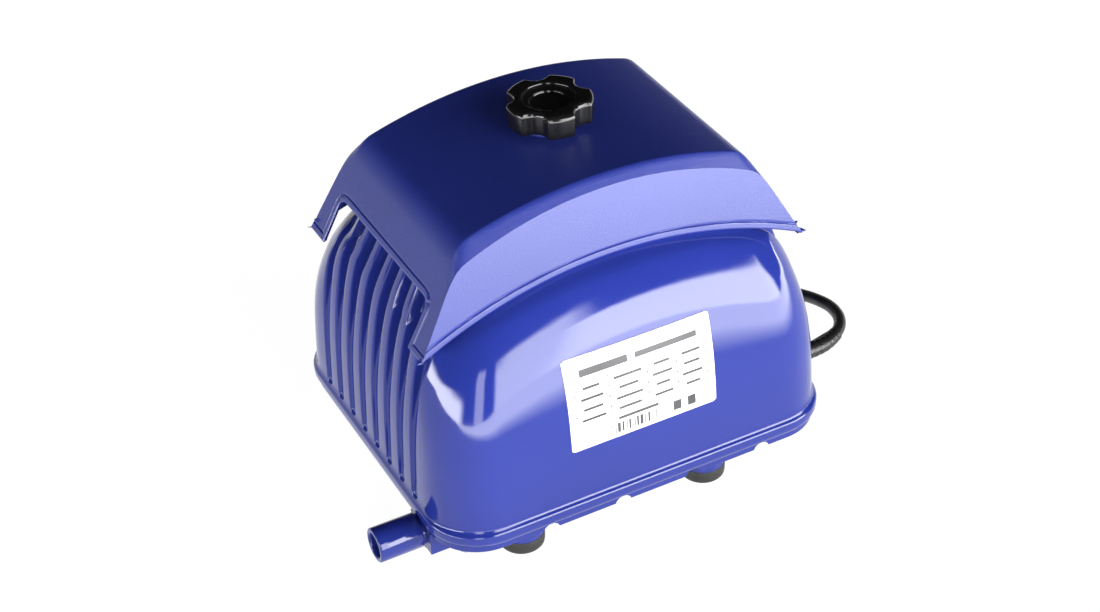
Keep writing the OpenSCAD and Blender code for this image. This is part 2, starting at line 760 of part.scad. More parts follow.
// pump bowl, valve wall and the two air spaces behind it
module head(side) {
    wall_x = head_x + bowl_depth;
    at_body() color("#c4c7cc") difference() {
        union() {
            to_end(side) bar_x(head_x, cap_x, 0, 0, head_d);
            post(side * stub_x, -side * stub_y, shaft_z - head_d / 2 - 7, shaft_z - head_d / 2 + 3,
                stub_od);
        }
        to_end(side) {
            bar_x(head_x - 1, wall_x, 0, 0, head_d - 15);
            for (s = [-1, 1]) intersection() {
                bar_x(wall_x + valve_wall, cap_x + 1, 0, 0, head_d - 15);
                block(0, 200, min(s * 1.5, s * 60), max(s * 1.5, s * 60), -60, 60);
            }
            for (s = [-1, 1]) bar_x(wall_x - 1, wall_x + valve_wall + 1, s * port_y, -1, 7);
            screw_holes(head_x - 1, cap_x + 1, 3);
            translate([cap_x - 3, port_y, 0]) cylinder(h = head_d, d = 5);
        }
        post(side * stub_x, -side * stub_y, shaft_z - head_d / 2 - 8, shaft_z - head_d / 2 + 11, 4);
    }
}

module head_left() { head(-1); }
module head_right() { head(1); }

module head_cover(side) {
    at_body() color("#8f9298") to_end(side) difference() {
        bar_x(cap_x, cap_x + cap_t, 0, 0, head_d);
        screw_holes(cap_x - 1, cap_x + cap_t + 1, 3);
    }
}

module head_cover_left() { head_cover(-1); }
module head_cover_right() { head_cover(1); }

module head_screws() {
    at_body() color("silver") for (s = [-1, 1]) to_end(s) {
        screw_holes(frame_hx - frame_t, cap_x + cap_t + 0.01, 3);
        screw_holes(cap_x + cap_t, cap_x + cap_t + 2, 5.5);
    }
}

// a rubber flap that hangs from a round bar and covers a port in the valve wall
flap_w = 11;
flap_l = 13;
flap_t = 0.8;
flap_seat_gap = 0.15;
flap_bar_d = 1.6;
flap_top = 6;
module flap(side, y, x, face) {
    at_body() color("#303030") to_end(side) {
        block(min(x, x + face * flap_t), max(x, x + face * flap_t), y - flap_w / 2, y + flap_w / 2,
            flap_top - flap_l, flap_top);
        translate([x + face * flap_bar_d / 2, y + flap_w / 2, flap_top]) rotate([90, 0, 0])
            cylinder(h = flap_w, d = flap_bar_d);
    }
}

module inlet_flap(side) {
    flap(side, port_y, head_x + bowl_depth - flap_seat_gap, -1);
}

module outlet_flap(side) {
    flap(side, -port_y, head_x + bowl_depth + valve_wall + flap_seat_gap, 1);
}

module inlet_flap_left() { inlet_flap(-1); }
module inlet_flap_right() { inlet_flap(1); }
module outlet_flap_left() { outlet_flap(-1); }
module outlet_flap_right() { outlet_flap(1); }

// ---- hoses and wiring ------------------------------------------------------------------
hose_z0 = chamber_top + 2;
hose_z1 = shaft_z - head_d / 2 - 1;

module air_hose(side) {
    at_body() color("#222222")
        tube(side * stub_x, -side * stub_y, hose_z0, hose_z1, hose_od, stub_od);
}

module air_hose_left() { air_hose(-1); }
module air_hose_right() { air_hose(1); }

module hose_clamps() {
    at_body() color("silver") for (s = [-1, 1], z = [hose_z0 + 2, hose_z1 - 7])
        tube(s * stub_x, -s * stub_y, z, z + 5, hose_od + 1.4, hose_od);
}

block_x = [54, 76];
block_z = [chamber_top, chamber_top + 14];

module terminal_block() {
    at_body() color("#e4e2da") difference() {
        block(block_x[0], block_x[1], gland_y - 2, gland_y + 16, block_z[0], block_z[1]);
        for (y = [gland_y + 2, gland_y + 7, gland_y + 12]) post(65, y, block_z[1] - 6, block_z[1] + 1, 3.4);
    }
}

gland_in = 9;
lead_z = 42;
module inner_leads() {
    at_body() color("#7a4a20") for (y = [gland_y - 1.6, gland_y + 1.6])
        bar_x(block_x[1], rim_hx - 3 - gland_in, y, gland_z + 1, 2);
}

// ---- mains lead ------------------------------------------------------------------------
gland_head_t = 3;
gland_head_d = 12;
face_x = body_x + rim_hx - 1.5;
exit_x = face_x + gland_head_t;
sleeve_root_d = 9.2;
sleeve_tip_d = cord_d + 1;

// Route of the lead from the gland, down to the floor and back to its coil.
route = [[123, -60, 38], [129, -60, 38], [135, -59.5, 38], [141, -57.5, 37.8],
    [146.5, -54.5, 37.5], [151.5, -50.5, 37], [155.5, -45.5, 36.2], [158.5, -40, 35.2],
    [160.5, -34, 34], [162, -27, 32.3], [162.5, -19, 30], [162.5, -10, 27], [162, 0, 23.2],
    [161, 11, 18.6], [160, 22, 14], [158.5, 34, 9.8], [157, 46, 6.6], [155, 58, 4.6],
    [153, 70, 3.6], [151, 83, 3.3], [149, 95, 3.3], [147, 107, 3.3], [145, 119, 3.3],
    [144, 130, 3.3], [143.5, 140, 3.3]];
sleeve_points = 5;
coil_end = route[len(route) - 1];
coil_x = coil_end[0] - (coil_d + cord_d) / 2;
coil_y = coil_end[1];

function cross3(a, b) =
    [a[1] * b[2] - a[2] * b[1], a[2] * b[0] - a[0] * b[2], a[0] * b[1] - a[1] * b[0]];
function unit(v) = v / norm(v);
function tangent(p, i) = unit(p[min(len(p) - 1, i + 1)] - p[max(0, i - 1)]);
function side_dir(p, i) = unit(cross3([0, 0, 1], tangent(p, i)));
function hoop(p, i, r, n) = let (u = side_dir(p, i), v = cross3(tangent(p, i), u))
    [for (k = [0 : n - 1]) p[i] + r * (u * cos(360 * k / n) + v * sin(360 * k / n))];

module cord_gland() {
    color("#141414") difference() {
        union() {
            bar_x(face_x, exit_x, gland_y, gland_z, gland_head_d);
            bar_x(face_x - gland_in, face_x + 0.01, gland_y, gland_z, gland_d);
            bar_x(face_x - gland_in - 2, face_x - wall - 1, gland_y, gland_z, gland_head_d);
        }
        bar_x(face_x - gland_in - 3, exit_x + 1, gland_y, gland_z, cord_d);
    }
}

// the tapered sleeve bends with the lead
module cord_sleeve() {
    last = sleeve_points - 1;
    outside = [for (i = [0 : last])
        hoop(route, i, (sleeve_root_d + (sleeve_tip_d - sleeve_root_d) * i / last) / 2, 12)];
    inside = [for (i = [last : -1 : 0]) hoop(route, i, cord_d / 2 + touch_gap, 12)];
    color("#141414") ring_skin(concat(outside, inside), true);
}

module mains_cord() {
    color("#101012") ring_skin([for (i = [0 : len(route) - 1]) hoop(route, i, cord_d / 2, 8)], false);
}

module cord_coil() {
    color("#101012") translate([coil_x, coil_y, 0]) rotate_extrude($fn = 64)
        translate([(coil_d - coil_band) / 2, 0]) square([coil_band, coil_h]);
}

plug_l = 36;
plug_w = 35;
plug_t = 14;
plug_neck = 9;
pin_d = 4;
pin_l = 19;
pin_gap = 18.6;

// flat two-pin plug that lies on the coil
module at_plug() {
    translate([coil_x - plug_l / 4, coil_y + coil_d / 2 - 1, coil_h]) children();
}

module plug_body() {
    color("#101012") at_plug() linear_extrude(plug_t)
        polygon([[-plug_l / 2, -plug_w / 2 + 3], [-plug_l / 2 + 3, -plug_w / 2], [0, -plug_w / 2],
            [plug_l / 2 - 4, -plug_neck / 2 - 2], [plug_l / 2, -plug_neck / 2],
            [plug_l / 2, plug_neck / 2], [plug_l / 2 - 4, plug_neck / 2 + 2], [0, plug_w / 2],
            [-plug_l / 2 + 3, plug_w / 2], [-plug_l / 2, plug_w / 2 - 3]]);
}

module plug_pins() {
    color("silver") at_plug() for (s = [-1, 1])
        bar_x(-plug_l / 2 - pin_l, -plug_l / 2, s * pin_gap / 2, plug_t / 2, pin_d);
}

housing();
base_tray();
base_gasket();
base_screws();
outlet_pipe();
foot_front_left();
foot_front_right();
foot_rear_left();
foot_rear_right();
top_cover();
knob();
knob_stud();
knob_washer();
threaded_insert();
filter_tray();
filter_foam();
rating_label();
air_chamber();
outlet_elbow();
shock_mounts();
mount_screws();
motor_frame();
core_brackets();
stator_core_front();
stator_core_rear();
bobbin_front();
bobbin_rear();
winding_front();
winding_rear();
armature_shaft();
magnet_carrier();
armature_magnets();
shaft_nuts();
clamp_discs();
diaphragm_left();
diaphragm_right();
diaphragm_ring_left();
diaphragm_ring_right();
head_left();
head_right();
head_cover_left();
head_cover_right();
head_screws();
inlet_flap_left();
inlet_flap_right();
outlet_flap_left();
outlet_flap_right();
air_hose_left();
air_hose_right();
hose_clamps();
terminal_block();
inner_leads();
cord_gland();
cord_sleeve();
mains_cord();
cord_coil();
plug_body();
plug_pins();
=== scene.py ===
# %% [markdown]
# # A pond air pump, dressed for its portrait
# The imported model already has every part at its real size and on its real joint. This lesson
# keeps that model as a fixed frame and builds the surfaces that people see around it. All
# lengths are in metres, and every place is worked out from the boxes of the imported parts, so
# that a change to the model moves the looks with it.

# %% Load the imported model
import bpy
import bmesh
import json
import math
import numpy as np
from mathutils import Matrix, Vector

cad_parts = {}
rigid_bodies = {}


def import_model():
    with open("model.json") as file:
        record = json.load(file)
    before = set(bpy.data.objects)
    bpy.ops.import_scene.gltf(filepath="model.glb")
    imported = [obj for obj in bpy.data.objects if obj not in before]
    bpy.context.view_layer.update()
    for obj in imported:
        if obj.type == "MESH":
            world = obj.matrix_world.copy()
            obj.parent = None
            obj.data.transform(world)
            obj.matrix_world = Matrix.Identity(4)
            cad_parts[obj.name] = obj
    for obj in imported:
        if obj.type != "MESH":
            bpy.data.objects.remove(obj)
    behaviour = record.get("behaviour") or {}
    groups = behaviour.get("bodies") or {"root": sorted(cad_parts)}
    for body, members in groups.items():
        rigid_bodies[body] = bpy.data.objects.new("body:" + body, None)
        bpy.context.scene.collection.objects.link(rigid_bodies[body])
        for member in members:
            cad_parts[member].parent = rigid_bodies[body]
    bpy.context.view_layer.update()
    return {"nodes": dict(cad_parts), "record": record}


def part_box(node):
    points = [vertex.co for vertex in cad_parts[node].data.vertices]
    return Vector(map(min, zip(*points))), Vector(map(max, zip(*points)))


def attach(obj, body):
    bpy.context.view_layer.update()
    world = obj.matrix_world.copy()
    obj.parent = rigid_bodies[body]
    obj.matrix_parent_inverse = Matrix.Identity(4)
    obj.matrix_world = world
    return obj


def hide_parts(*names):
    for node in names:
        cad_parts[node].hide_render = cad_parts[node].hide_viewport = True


for left_over in list(bpy.data.objects):
    bpy.data.objects.remove(left_over)
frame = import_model()
nodes = frame["nodes"]
MM = 0.001

# %% [markdown]
# ## Places that everything hangs on
# The housing's box gives the middle of the pump, its half length and half depth and the
# height of its rim. Later cells measure from these instead of repeating numbers.

# %% Measure the housing
house_lo, house_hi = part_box("housing")
mid_x = (house_lo.x + house_hi.x) / 2
half_l = (house_hi.x - house_lo.x) / 2
half_w = house_hi.y
rim_z = house_lo.z
print("half length and depth of the rim:", round(half_l, 4), round(half_w, 4))

# %% [markdown]
# ## The camera
# A product portrait of this kind is taken from the front left, looking down, with a long
# lens so that the box keeps its proportions. The camera is built from an azimuth, an
# elevation and a small roll, because those are the words in which a view is described.

# %% Set up the camera
LOOK_AT = Vector((8.0, 1.7, 72.4)) * MM
AZIMUTH, ELEVATION, ROLL = (math.radians(a) for a in (26.5, 36.2, -2.6))
DISTANCE = 1.062
LENS_MM = 68.05

away = Vector((-math.sin(AZIMUTH) * math.cos(ELEVATION),
               -math.cos(AZIMUTH) * math.cos(ELEVATION), math.sin(ELEVATION)))
level_right = Vector((math.cos(AZIMUTH), -math.sin(AZIMUTH), 0))
level_up = away.cross(level_right)
cam_right = math.cos(ROLL) * level_right + math.sin(ROLL) * level_up
cam_up = -math.sin(ROLL) * level_right + math.cos(ROLL) * level_up

cam_data = bpy.data.cameras.new("portrait_lens")
cam_data.lens, cam_data.sensor_width = LENS_MM, 36
camera = bpy.data.objects.new("portrait_camera", cam_data)
turn = Matrix((cam_right, cam_up, away)).transposed()
camera.matrix_world = Matrix.Translation(LOOK_AT + DISTANCE * away) @ turn.to_4x4()
bpy.context.scene.collection.objects.link(camera)
bpy.context.scene.camera = camera
bpy.context.scene.view_settings.view_transform = "Standard"
print("camera at", [round(c, 3) for c in camera.matrix_world.translation])

# %% [markdown]
# ## The mains lead
# A two-core mains lead leaves the right end through a gland, droops to the floor behind the
# pump and is wound into a neat coil there, with its plug lying on top. A lead keeps its
# length whatever it does, so the route comes first: a list of points for the free part, then
# turns that are counted out along a winding plan.

# %% Lay the free part of the lead
route_mm = [
    (123, -60, 38), (129, -60, 38), (135, -59.5, 38), (141, -57.5, 37.8),
    (146.5, -54.5, 37.5), (151.5, -50.5, 37), (155.5, -45.5, 36.2), (158.5, -40, 35.2),
    (160.5, -34, 34), (162, -27, 32.3), (162.5, -19, 30), (162.5, -10, 27), (162, 0, 23.2),
    (161, 11, 18.6), (160, 22, 14), (158.5, 34, 9.8), (157, 46, 6.6), (155, 58, 4.6),
    (153, 70, 3.6), (151, 83, 3.3), (149, 95, 3.3), (147, 107, 3.3), (145, 119, 3.3),
    (144, 130, 3.3), (143.5, 140, 3.3)]
free_run = [Vector(p) * MM for p in route_mm]
LEAD_D = 0.0065
SLEEVE_POINTS = 5
print("points on the free run:", len(free_run))

# %% [markdown]
# ## The coil
# The coil is two turns wide and three layers high. The lead can only change from the outer
# turn to the inner one, or climb to the next layer, over a long easy stretch, and each change
# has to come a little earlier in the turn than the one before, or two turns would meet. The
# plan below lists those changes by angle; between them the lead keeps its circle.

# %% Wind the coil
coil_lo, coil_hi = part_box("cord_coil")
coil_mid = (coil_lo + coil_hi) / 2
TURN_GAP = 0.0066
outer_r = free_run[-1].x - coil_mid.x
inner_r = outer_r - TURN_GAP
low_z = free_run[-1].z
SIDESTEP, CLIMB = 76, 51          # degrees of turn that each change takes

# angle where a change starts, what changes, and its new value
changes, start = [], 360 - SIDESTEP
for what, new, back in [("r", inner_r, CLIMB), ("z", low_z + TURN_GAP, SIDESTEP),
                        ("r", outer_r, CLIMB), ("z", low_z + 2 * TURN_GAP, SIDESTEP),
                        ("r", inner_r, 0)]:
    changes.append((start, SIDESTEP if what == "r" else CLIMB, what, new))
    start += 360 - back


def eased(t):
    t = min(1.0, max(0.0, t))
    return t * t * (3 - 2 * t)


def along_coil(angle):
    now = {"r": outer_r, "z": low_z}
    for begin, takes, what, new in changes:
        if angle > begin:
            now[what] += (new - now[what]) * eased((angle - begin) / takes)
    a = math.radians(angle)
    return Vector((coil_mid.x + now["r"] * math.cos(a), coil_mid.y + now["r"] * math.sin(a),
                   now["z"]))


STEP = 20
last_flat = 1740
wound = [along_coil(a) for a in range(STEP, last_flat + 1, STEP)]
print("points on the coil:", len(wound))

# %% [markdown]
# ## The end of the lead
# The last bit of lead climbs off the coil in one low hump and runs into the neck of the plug,
# which lies flat on the turns. A circle arc that ends in the plug's own direction keeps the
# bend gentle.

# %% Lead the end into the plug
plug_lo, plug_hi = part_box("plug_body")
neck = Vector((plug_hi.x, (plug_lo.y + plug_hi.y) / 2, (plug_lo.z + plug_hi.z) / 2))
arc_r = 0.033
arc_mid = Vector((neck.x, neck.y - arc_r, 0))
top_z = low_z + 2 * TURN_GAP
climb_from, climb_to = math.radians(last_flat - 1800), 0.0
ending = []
for share in (0.33, 0.67, 1.0):
    a = climb_from + (climb_to - climb_from) * share
    r = inner_r + (arc_mid.x + arc_r - coil_mid.x - inner_r) * eased(share) * 0.8
    ending.append(Vector((coil_mid.x + r * math.cos(a), coil_mid.y + r * math.sin(a),
                          top_z + TURN_GAP * eased(share))))
for degrees in range(15, 91, 15):
    a = math.radians(degrees)
    lift = eased(degrees / 90) * (neck.z - top_z - TURN_GAP)
    ending.append(Vector((arc_mid.x + arc_r * math.cos(a), arc_mid.y + arc_r * math.sin(a),
                          top_z + TURN_GAP + lift)))
lead_points = free_run + wound + ending



def spaced(points, gap):
    """A smooth line through points, cut into even steps of about the gap."""
    ends = [2 * points[0] - points[1], *points, 2 * points[-1] - points[-2]]
    line = []
    for a, b, c, d in zip(ends, ends[1:], ends[2:], ends[3:]):
        for t in np.linspace(0, 1, 12, endpoint=False):
            line.append(0.5 * ((2 * b) + (c - a) * t + (2 * a - 5 * b + 4 * c - d) * t * t
                               + (3 * b - a - 3 * c + d) * t**3))
    line.append(points[-1])
    run = np.concatenate([[0], np.cumsum([(q - p).length for p, q in zip(line, line[1:])])])
    return [Vector([np.interp(s, run, [p[k] for p in line]) for k in range(3)])
            for s in np.linspace(0, run[-1], round(run[-1] / gap) + 1)]


lead_line = spaced(lead_points, 0.0015)
lead_length = sum((b - a).length for a, b in zip(lead_line, lead_line[1:]))
print("lead length, metres:", round(lead_length, 4))

# %% [markdown]
# ## Finishes
# Every finish here is built from a few noise fields at real sizes: a slow drift of colour, a
# slower drift of gloss that handling and dust leave behind, and a fine relief from the mould.
# One helper wires those three into the shader; the cells after it only choose numbers.

# %% Helpers for finishes
def field(tree, kind, size, stretch=(1, 1, 1), **settings):
    """A texture in the piece's own metres: size is how far apart its features are."""
    place = tree.nodes.new("ShaderNodeTexCoord")
    mapping = tree.nodes.new("ShaderNodeMapping")
    mapping.inputs["Scale"].default_value = stretch
    texture = tree.nodes.new(kind)
    texture.inputs["Scale"].default_value = 1 / size
    for name, value in settings.items():
        if name in texture.inputs:
            texture.inputs[name].default_value = value
        else:
            setattr(texture, name, value)
    tree.links.new(place.outputs["Object"], mapping.inputs["Vector"])
    tree.links.new(mapping.outputs["Vector"], texture.inputs["Vector"])
    return texture


def between(tree, value, low, high, from_low=0.3, from_high=0.7):
    node = tree.nodes.new("ShaderNodeMapRange")
    for name, number in zip(("From Min", "From Max", "To Min", "To Max"),
                            (from_low, from_high, low, high)):
        node.inputs[name].default_value = number
    tree.links.new(value, node.inputs["Value"])
    return node.outputs["Result"]


def tinted(tree, value, dark, light, low=0.3, high=0.7):
    ramp = tree.nodes.new("ShaderNodeValToRGB")
    ramp.color_ramp.elements[0].position, ramp.color_ramp.elements[1].position = low, high
    ramp.color_ramp.elements[0].color = (*dark, 1)
    ramp.color_ramp.elements[1].color = (*light, 1)
    tree.links.new(value, ramp.inputs["Fac"])
    return ramp.outputs["Color"]


def relief(tree, height, depth, below=None):
    bump = tree.nodes.new("ShaderNodeBump")
    bump.inputs["Distance"].default_value = depth
    tree.links.new(height, bump.inputs["Height"])
    if below is not None:
        tree.links.new(below, bump.inputs["Normal"])
    return bump.outputs["Normal"]


def finish(name, dark, light, rough, grain, depth, drift=0.03, metallic=0.0, coat=0.0,
           stretch=(1, 1, 1), wear=0.006, level=0.5):
    """A finish with drifting colour and gloss and one fine relief. Returns it open for more."""
    made = bpy.data.materials.new(name)
    made.use_nodes = True
    tree = made.node_tree
    shader = tree.nodes["Principled BSDF"]
    shader.inputs["Metallic"].default_value = metallic
    shader.inputs["Coat Weight"].default_value = coat
    shader.inputs["Specular IOR Level"].default_value = level
    slow = field(tree, "ShaderNodeTexNoise", drift, Detail=3.0)
    handled = field(tree, "ShaderNodeTexNoise", wear, stretch=stretch, Detail=5.0)
    fine = field(tree, "ShaderNodeTexNoise", grain, stretch=stretch, Detail=2.0)
    tree.links.new(tinted(tree, slow.outputs["Fac"], dark, light), shader.inputs["Base Color"])
    tree.links.new(between(tree, handled.outputs["Fac"], *rough), shader.inputs["Roughness"])
    tree.links.new(relief(tree, fine.outputs["Fac"], depth), shader.inputs["Normal"])
    return made, tree, shader


print("finish helpers ready")

# %% [markdown]
# ## Glossy and satin blue
# The housing is moulded in polished tooling, so it mirrors the lamps with only a trace of
# orange peel. The cover comes from a tool with a fine spark-eroded grain: the same pigment
# looks darker where it faces away from the light and milky where it faces it. The satin
# finish therefore gets a wide gloss range and a grain of about a third of a millimetre.

# %% Mix the two blues
gloss_blue, tree, shader = finish(
    "gloss_blue", (0.0120, 0.021, 0.165), (0.0140, 0.024, 0.185), (0.05, 0.10),
    grain=0.004, depth=0.000012, drift=0.06)
print("gloss blue ready")

satin_blue, tree, shader = finish(
    "satin_blue", (0.0110, 0.0200, 0.160), (0.0130, 0.023, 0.178), (0.33, 0.39),
    grain=0.0005, depth=0.00005, drift=0.05, level=0.7)
pores = field(tree, "ShaderNodeTexVoronoi", 0.0007, feature="SMOOTH_F1")
old = shader.inputs["Normal"].links[0].from_socket
tree.links.new(relief(tree, pores.outputs["Distance"], 0.00006, old), shader.inputs["Normal"])
print("satin blue ready")

# %% [markdown]
# ## Other finishes
# Knob, rubber, label, sheath and the metals each get their own numbers. Turned and rolled
# metal shows its direction, so its noise is stretched along one axis; a winding and a stack
# of sheets show fine even lines, so those two use a wave instead.

# %% Mix the blacks, the label and the metals
def lined(name, dark, light, spacing, depth, axis, rough, metallic):
    """A finish with fine even lines, as a winding or a stack of sheets has."""
    made, tree, shader = finish(name, dark, light, rough, spacing, depth / 4,
                                metallic=metallic)
    lines = field(tree, "ShaderNodeTexWave", spacing * 1.6, wave_type="BANDS",
                  bands_direction=axis, Distortion=0.3)
    old = shader.inputs["Normal"].links[0].from_socket
    tree.links.new(relief(tree, lines.outputs["Fac"], depth, old), shader.inputs["Normal"])
    return made


knob_black = finish("knob_black", (0.0035, 0.0035, 0.004), (0.006, 0.006, 0.0065),
                    (0.07, 0.16), 0.003, 0.00003)[0]
foot_rubber = finish("foot_rubber", (0.008, 0.008, 0.008), (0.016, 0.016, 0.015),
                     (0.5, 0.7), 0.0006, 0.00008)[0]
label_film = finish("label_film", (0.80, 0.80, 0.79), (0.86, 0.86, 0.85),
                    (0.22, 0.32), 0.0015, 0.00001)[0]
print_ink = finish("print_ink", (0.03, 0.03, 0.034), (0.06, 0.06, 0.065),
                   (0.35, 0.5), 0.0008, 0.00001)[0]
sheath_black = finish("sheath_black", (0.005, 0.005, 0.0055), (0.010, 0.010, 0.010),
                      (0.30, 0.45), 0.0009, 0.00003)[0]
zinc_steel = finish("zinc_steel", (0.50, 0.50, 0.49), (0.66, 0.66, 0.64), (0.22, 0.38),
                    0.0012, 0.00002, drift=0.008, metallic=1.0, stretch=(1, 1, 6))[0]
turned_brass = finish("turned_brass", (0.58, 0.38, 0.12), (0.72, 0.50, 0.20), (0.2, 0.34),
                      0.0006, 0.00003, drift=0.006, metallic=1.0, stretch=(1, 1, 8))[0]
cast_alloy = finish("cast_alloy", (0.42, 0.43, 0.45), (0.56, 0.57, 0.58), (0.38, 0.55),
                    0.0011, 0.00009, drift=0.02, metallic=1.0)[0]
tray_grey = finish("tray_grey", (0.014, 0.014, 0.016), (0.024, 0.024, 0.027), (0.42, 0.58),
                   0.0008, 0.00005)[0]
bobbin_cream = finish("bobbin_cream", (0.52, 0.48, 0.37), (0.62, 0.58, 0.47), (0.3, 0.42),
                      0.0012, 0.00003)[0]
diaphragm_black = finish("diaphragm_black", (0.012, 0.012, 0.012), (0.022, 0.022, 0.021),
                         (0.45, 0.6), 0.0004, 0.00004)[0]
core_sheets = lined("core_sheets", (0.10, 0.10, 0.11), (0.2, 0.2, 0.21), 0.0005, 0.00006, "Z",
                    (0.35, 0.5), 1.0)
copper_turns = lined("copper_turns", (0.34, 0.11, 0.04), (0.46, 0.18, 0.07), 0.0006, 0.00015,
                     "Z", (0.22, 0.34), 1.0)
lead_cores = finish("lead_cores", (0.16, 0.06, 0.02), (0.24, 0.10, 0.04), (0.3, 0.42),
                    0.001, 0.00002)[0]

foam_open, tree, shader = finish("foam_open", (0.012, 0.012, 0.013), (0.05, 0.05, 0.053),
                                 (0.8, 0.95), 0.0015, 0.0002)
cells = field(tree, "ShaderNodeTexVoronoi", 0.0016, feature="SMOOTH_F1")
# painted shade: the foam's pores are painted darker where the relief dips, as shade in the
# hollows
tree.links.new(tinted(tree, cells.outputs["Distance"], (0.004, 0.004, 0.004),
                      (0.07, 0.07, 0.075), 0.1, 0.6), shader.inputs["Base Color"])
old = shader.inputs["Normal"].links[0].from_socket
tree.links.new(relief(tree, cells.outputs["Distance"], 0.0009, old), shader.inputs["Normal"])
print("finishes:", len(bpy.data.materials))

# %% [markdown]
# ## Dress the parts inside
# Most parts of the drive keep the shape that they have in the model, because a pressed
# bracket or a turned shaft is already right. Each of them only takes a finish, chosen by the
# material slot that the record gives it.

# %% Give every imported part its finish
by_slot = {
    "housing_blue": gloss_blue, "cover_blue": satin_blue, "knob_black": knob_black,
    "foot_rubber": foot_rubber, "label_white": label_film, "screw_steel": zinc_steel,
    "insert_brass": turned_brass, "tray_plastic": tray_grey, "foam_grey": foam_open,
    "drive_alloy": cast_alloy, "core_steel": core_sheets, "bobbin_plastic": bobbin_cream,
    "winding_copper": copper_turns, "diaphragm_rubber": diaphragm_black,
    "lead_black": sheath_black, "lead_cores": lead_cores}
for part in frame["record"]["subparts"]:
    made = by_slot[part["material_slot"]]
    slots = nodes[part["node"]].data.materials
    for i in range(len(slots)):
        slots[i] = made

# %% [markdown]
# ## Making a mesh piece
# All of the outer pieces are made as plain lists of points and faces and handed to one
# helper, which makes the object, gives it a finish and a body to ride on, and softens its
# shading. A second helper closes a stack of equal rings into a skin.

# %% Helpers for mesh pieces
def piece(name, points, faces, body, made, stands_for=(), sharp=35):
    mesh = bpy.data.meshes.new(name)
    mesh.from_pydata([tuple(p) for p in points], [], faces)
    mesh.update()
    mesh.materials.append(made)
    mesh.shade_smooth()
    mesh.set_sharp_from_angle(angle=math.radians(sharp))
    thing = bpy.data.objects.new(name, mesh)
    bpy.context.scene.collection.objects.link(thing)
    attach(thing, body)
    if stands_for:
        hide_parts(*stands_for)
    return thing


def skin(rings, closed=False):
    """Points and faces of a skin over equal rings. closed joins the last ring to the first."""
    rings = np.asarray(rings, float)
    count, size = rings.shape[:2]
    rows = range(count if closed else count - 1)
    faces = [(k * size + i, k * size + (i + 1) % size,
              (k + 1) % count * size + (i + 1) % size, (k + 1) % count * size + i)
             for k in rows for i in range(size)]
    if not closed:
        faces += [tuple(reversed(range(size))),
                  tuple(range((count - 1) * size, count * size))]
    return rings.reshape(-1, 3), faces


def tube(line, radii, sides=24):
    """Rings along a line that turn with it and never twist."""
    side, rings = Vector((0, 0, 1)), []
    for i, (spot, radius) in enumerate(zip(line, radii)):
        ahead = (line[min(i + 1, len(line) - 1)] - line[max(i - 1, 0)]).normalized()
        side = (side - side.dot(ahead) * ahead).normalized()
        up = ahead.cross(side)
        rings.append([spot + radius * (math.cos(a) * side + math.sin(a) * up)
                      for a in np.linspace(0, 2 * math.pi, sides, endpoint=False)])
    return rings


def turned(profile, middle, along=(0, 0, 1), sides=96):
    """A turned piece from (radius, height) pairs about a line through middle."""
    line = Vector(along)
    across = line.orthogonal().normalized()
    other = line.cross(across)
    rings = []
    for radius, height in profile:
        hub = Vector(middle) + line * height
        rings.append([hub + radius * (math.cos(a) * across + math.sin(a) * other)
                      for a in np.linspace(0, 2 * math.pi, sides, endpoint=False)])
    return rings


def fillet(centre, radius, start, end, steps=5):
    """Points of an arc in a profile, as (radius, height) pairs; angles in degrees."""
    return [(centre[0] + radius * math.cos(math.radians(a)),
             centre[1] + radius * math.sin(math.radians(a)))
            for a in np.linspace(start, end, steps)]


print("mesh helpers ready")

# %% [markdown]
# ## The housing's outline
# The housing is one moulding whose section changes all the way up: a flared rim, almost
# upright walls, then shoulders that roll in under the cover. Eight flutes run up each end
# like cooling fins, shallow at the foot and deep at the top. Such a form is best described by
# a few stations with a smooth curve through them, so that the mesh can be as fine as it likes.

# %% Describe the housing by stations
# height above the rim, inset of the ends, inset of the sides, depth of the flutes, in mm
stations = np.array([
    (0, 0.8, 0.8, 0), (2, 0, 0, 0), (5.5, 0, 0, 0), (7.7, 1.2, 1.7, 0), (10, 1.6, 2.2, 1.2),
    (18, 1.9, 2.4, 1.6), (38, 3, 3, 1.9), (58, 4.5, 5, 2.6), (78, 6.2, 9, 4.2),
    (98, 8.6, 16, 6), (108, 10.6, 22.5, 7.2), (114, 12.4, 28, 8), (119, 14.8, 36, 8.5),
    (128, 20.8, 39, 9), (138, 27.5, 40, 9)], float)
HX, HY = half_l / MM, half_w / MM
RIM = rim_z / MM
CORNER_R, WALL = 29.0, 3.0
SAG_FROM, SAG_TO, SAG_R = 38, 119, 242
FLUTES, PITCH, FLUTE_W, FLARE = 8, 14.9, 6.0, 2.4
END_EDGE = 58.0


def steady_slopes(x, y):
    """Slopes for a curve through points that never overshoots them."""
    run, rise = np.diff(x), np.diff(y) / np.diff(x)
    slopes = np.zeros_like(y)
    for i in range(1, len(x) - 1):
        if rise[i - 1] * rise[i] > 0:
            a, b = 2 * run[i] + run[i - 1], run[i] + 2 * run[i - 1]
            slopes[i] = (a + b) / (a / rise[i - 1] + b / rise[i])
    slopes[0], slopes[-1] = rise[0], rise[-1]
    return slopes


def through(h, column):
    """The smooth curve through one column of the stations, at height h."""
    x, y = stations[:, 0], stations[:, column]
    slopes = steady_slopes(x, y)
    i = int(np.clip(np.searchsorted(x, h, side="right") - 1, 0, len(x) - 2))
    w = x[i + 1] - x[i]
    t = (h - x[i]) / w
    return ((2 * t**3 - 3 * t**2 + 1) * y[i] + (t**3 - 2 * t**2 + t) * w * slopes[i]
            + (3 * t**2 - 2 * t**3) * y[i + 1] + (t**3 - t**2) * w * slopes[i + 1])


def arc_drop(x, r):
    return r - math.sqrt(r * r - x * x)


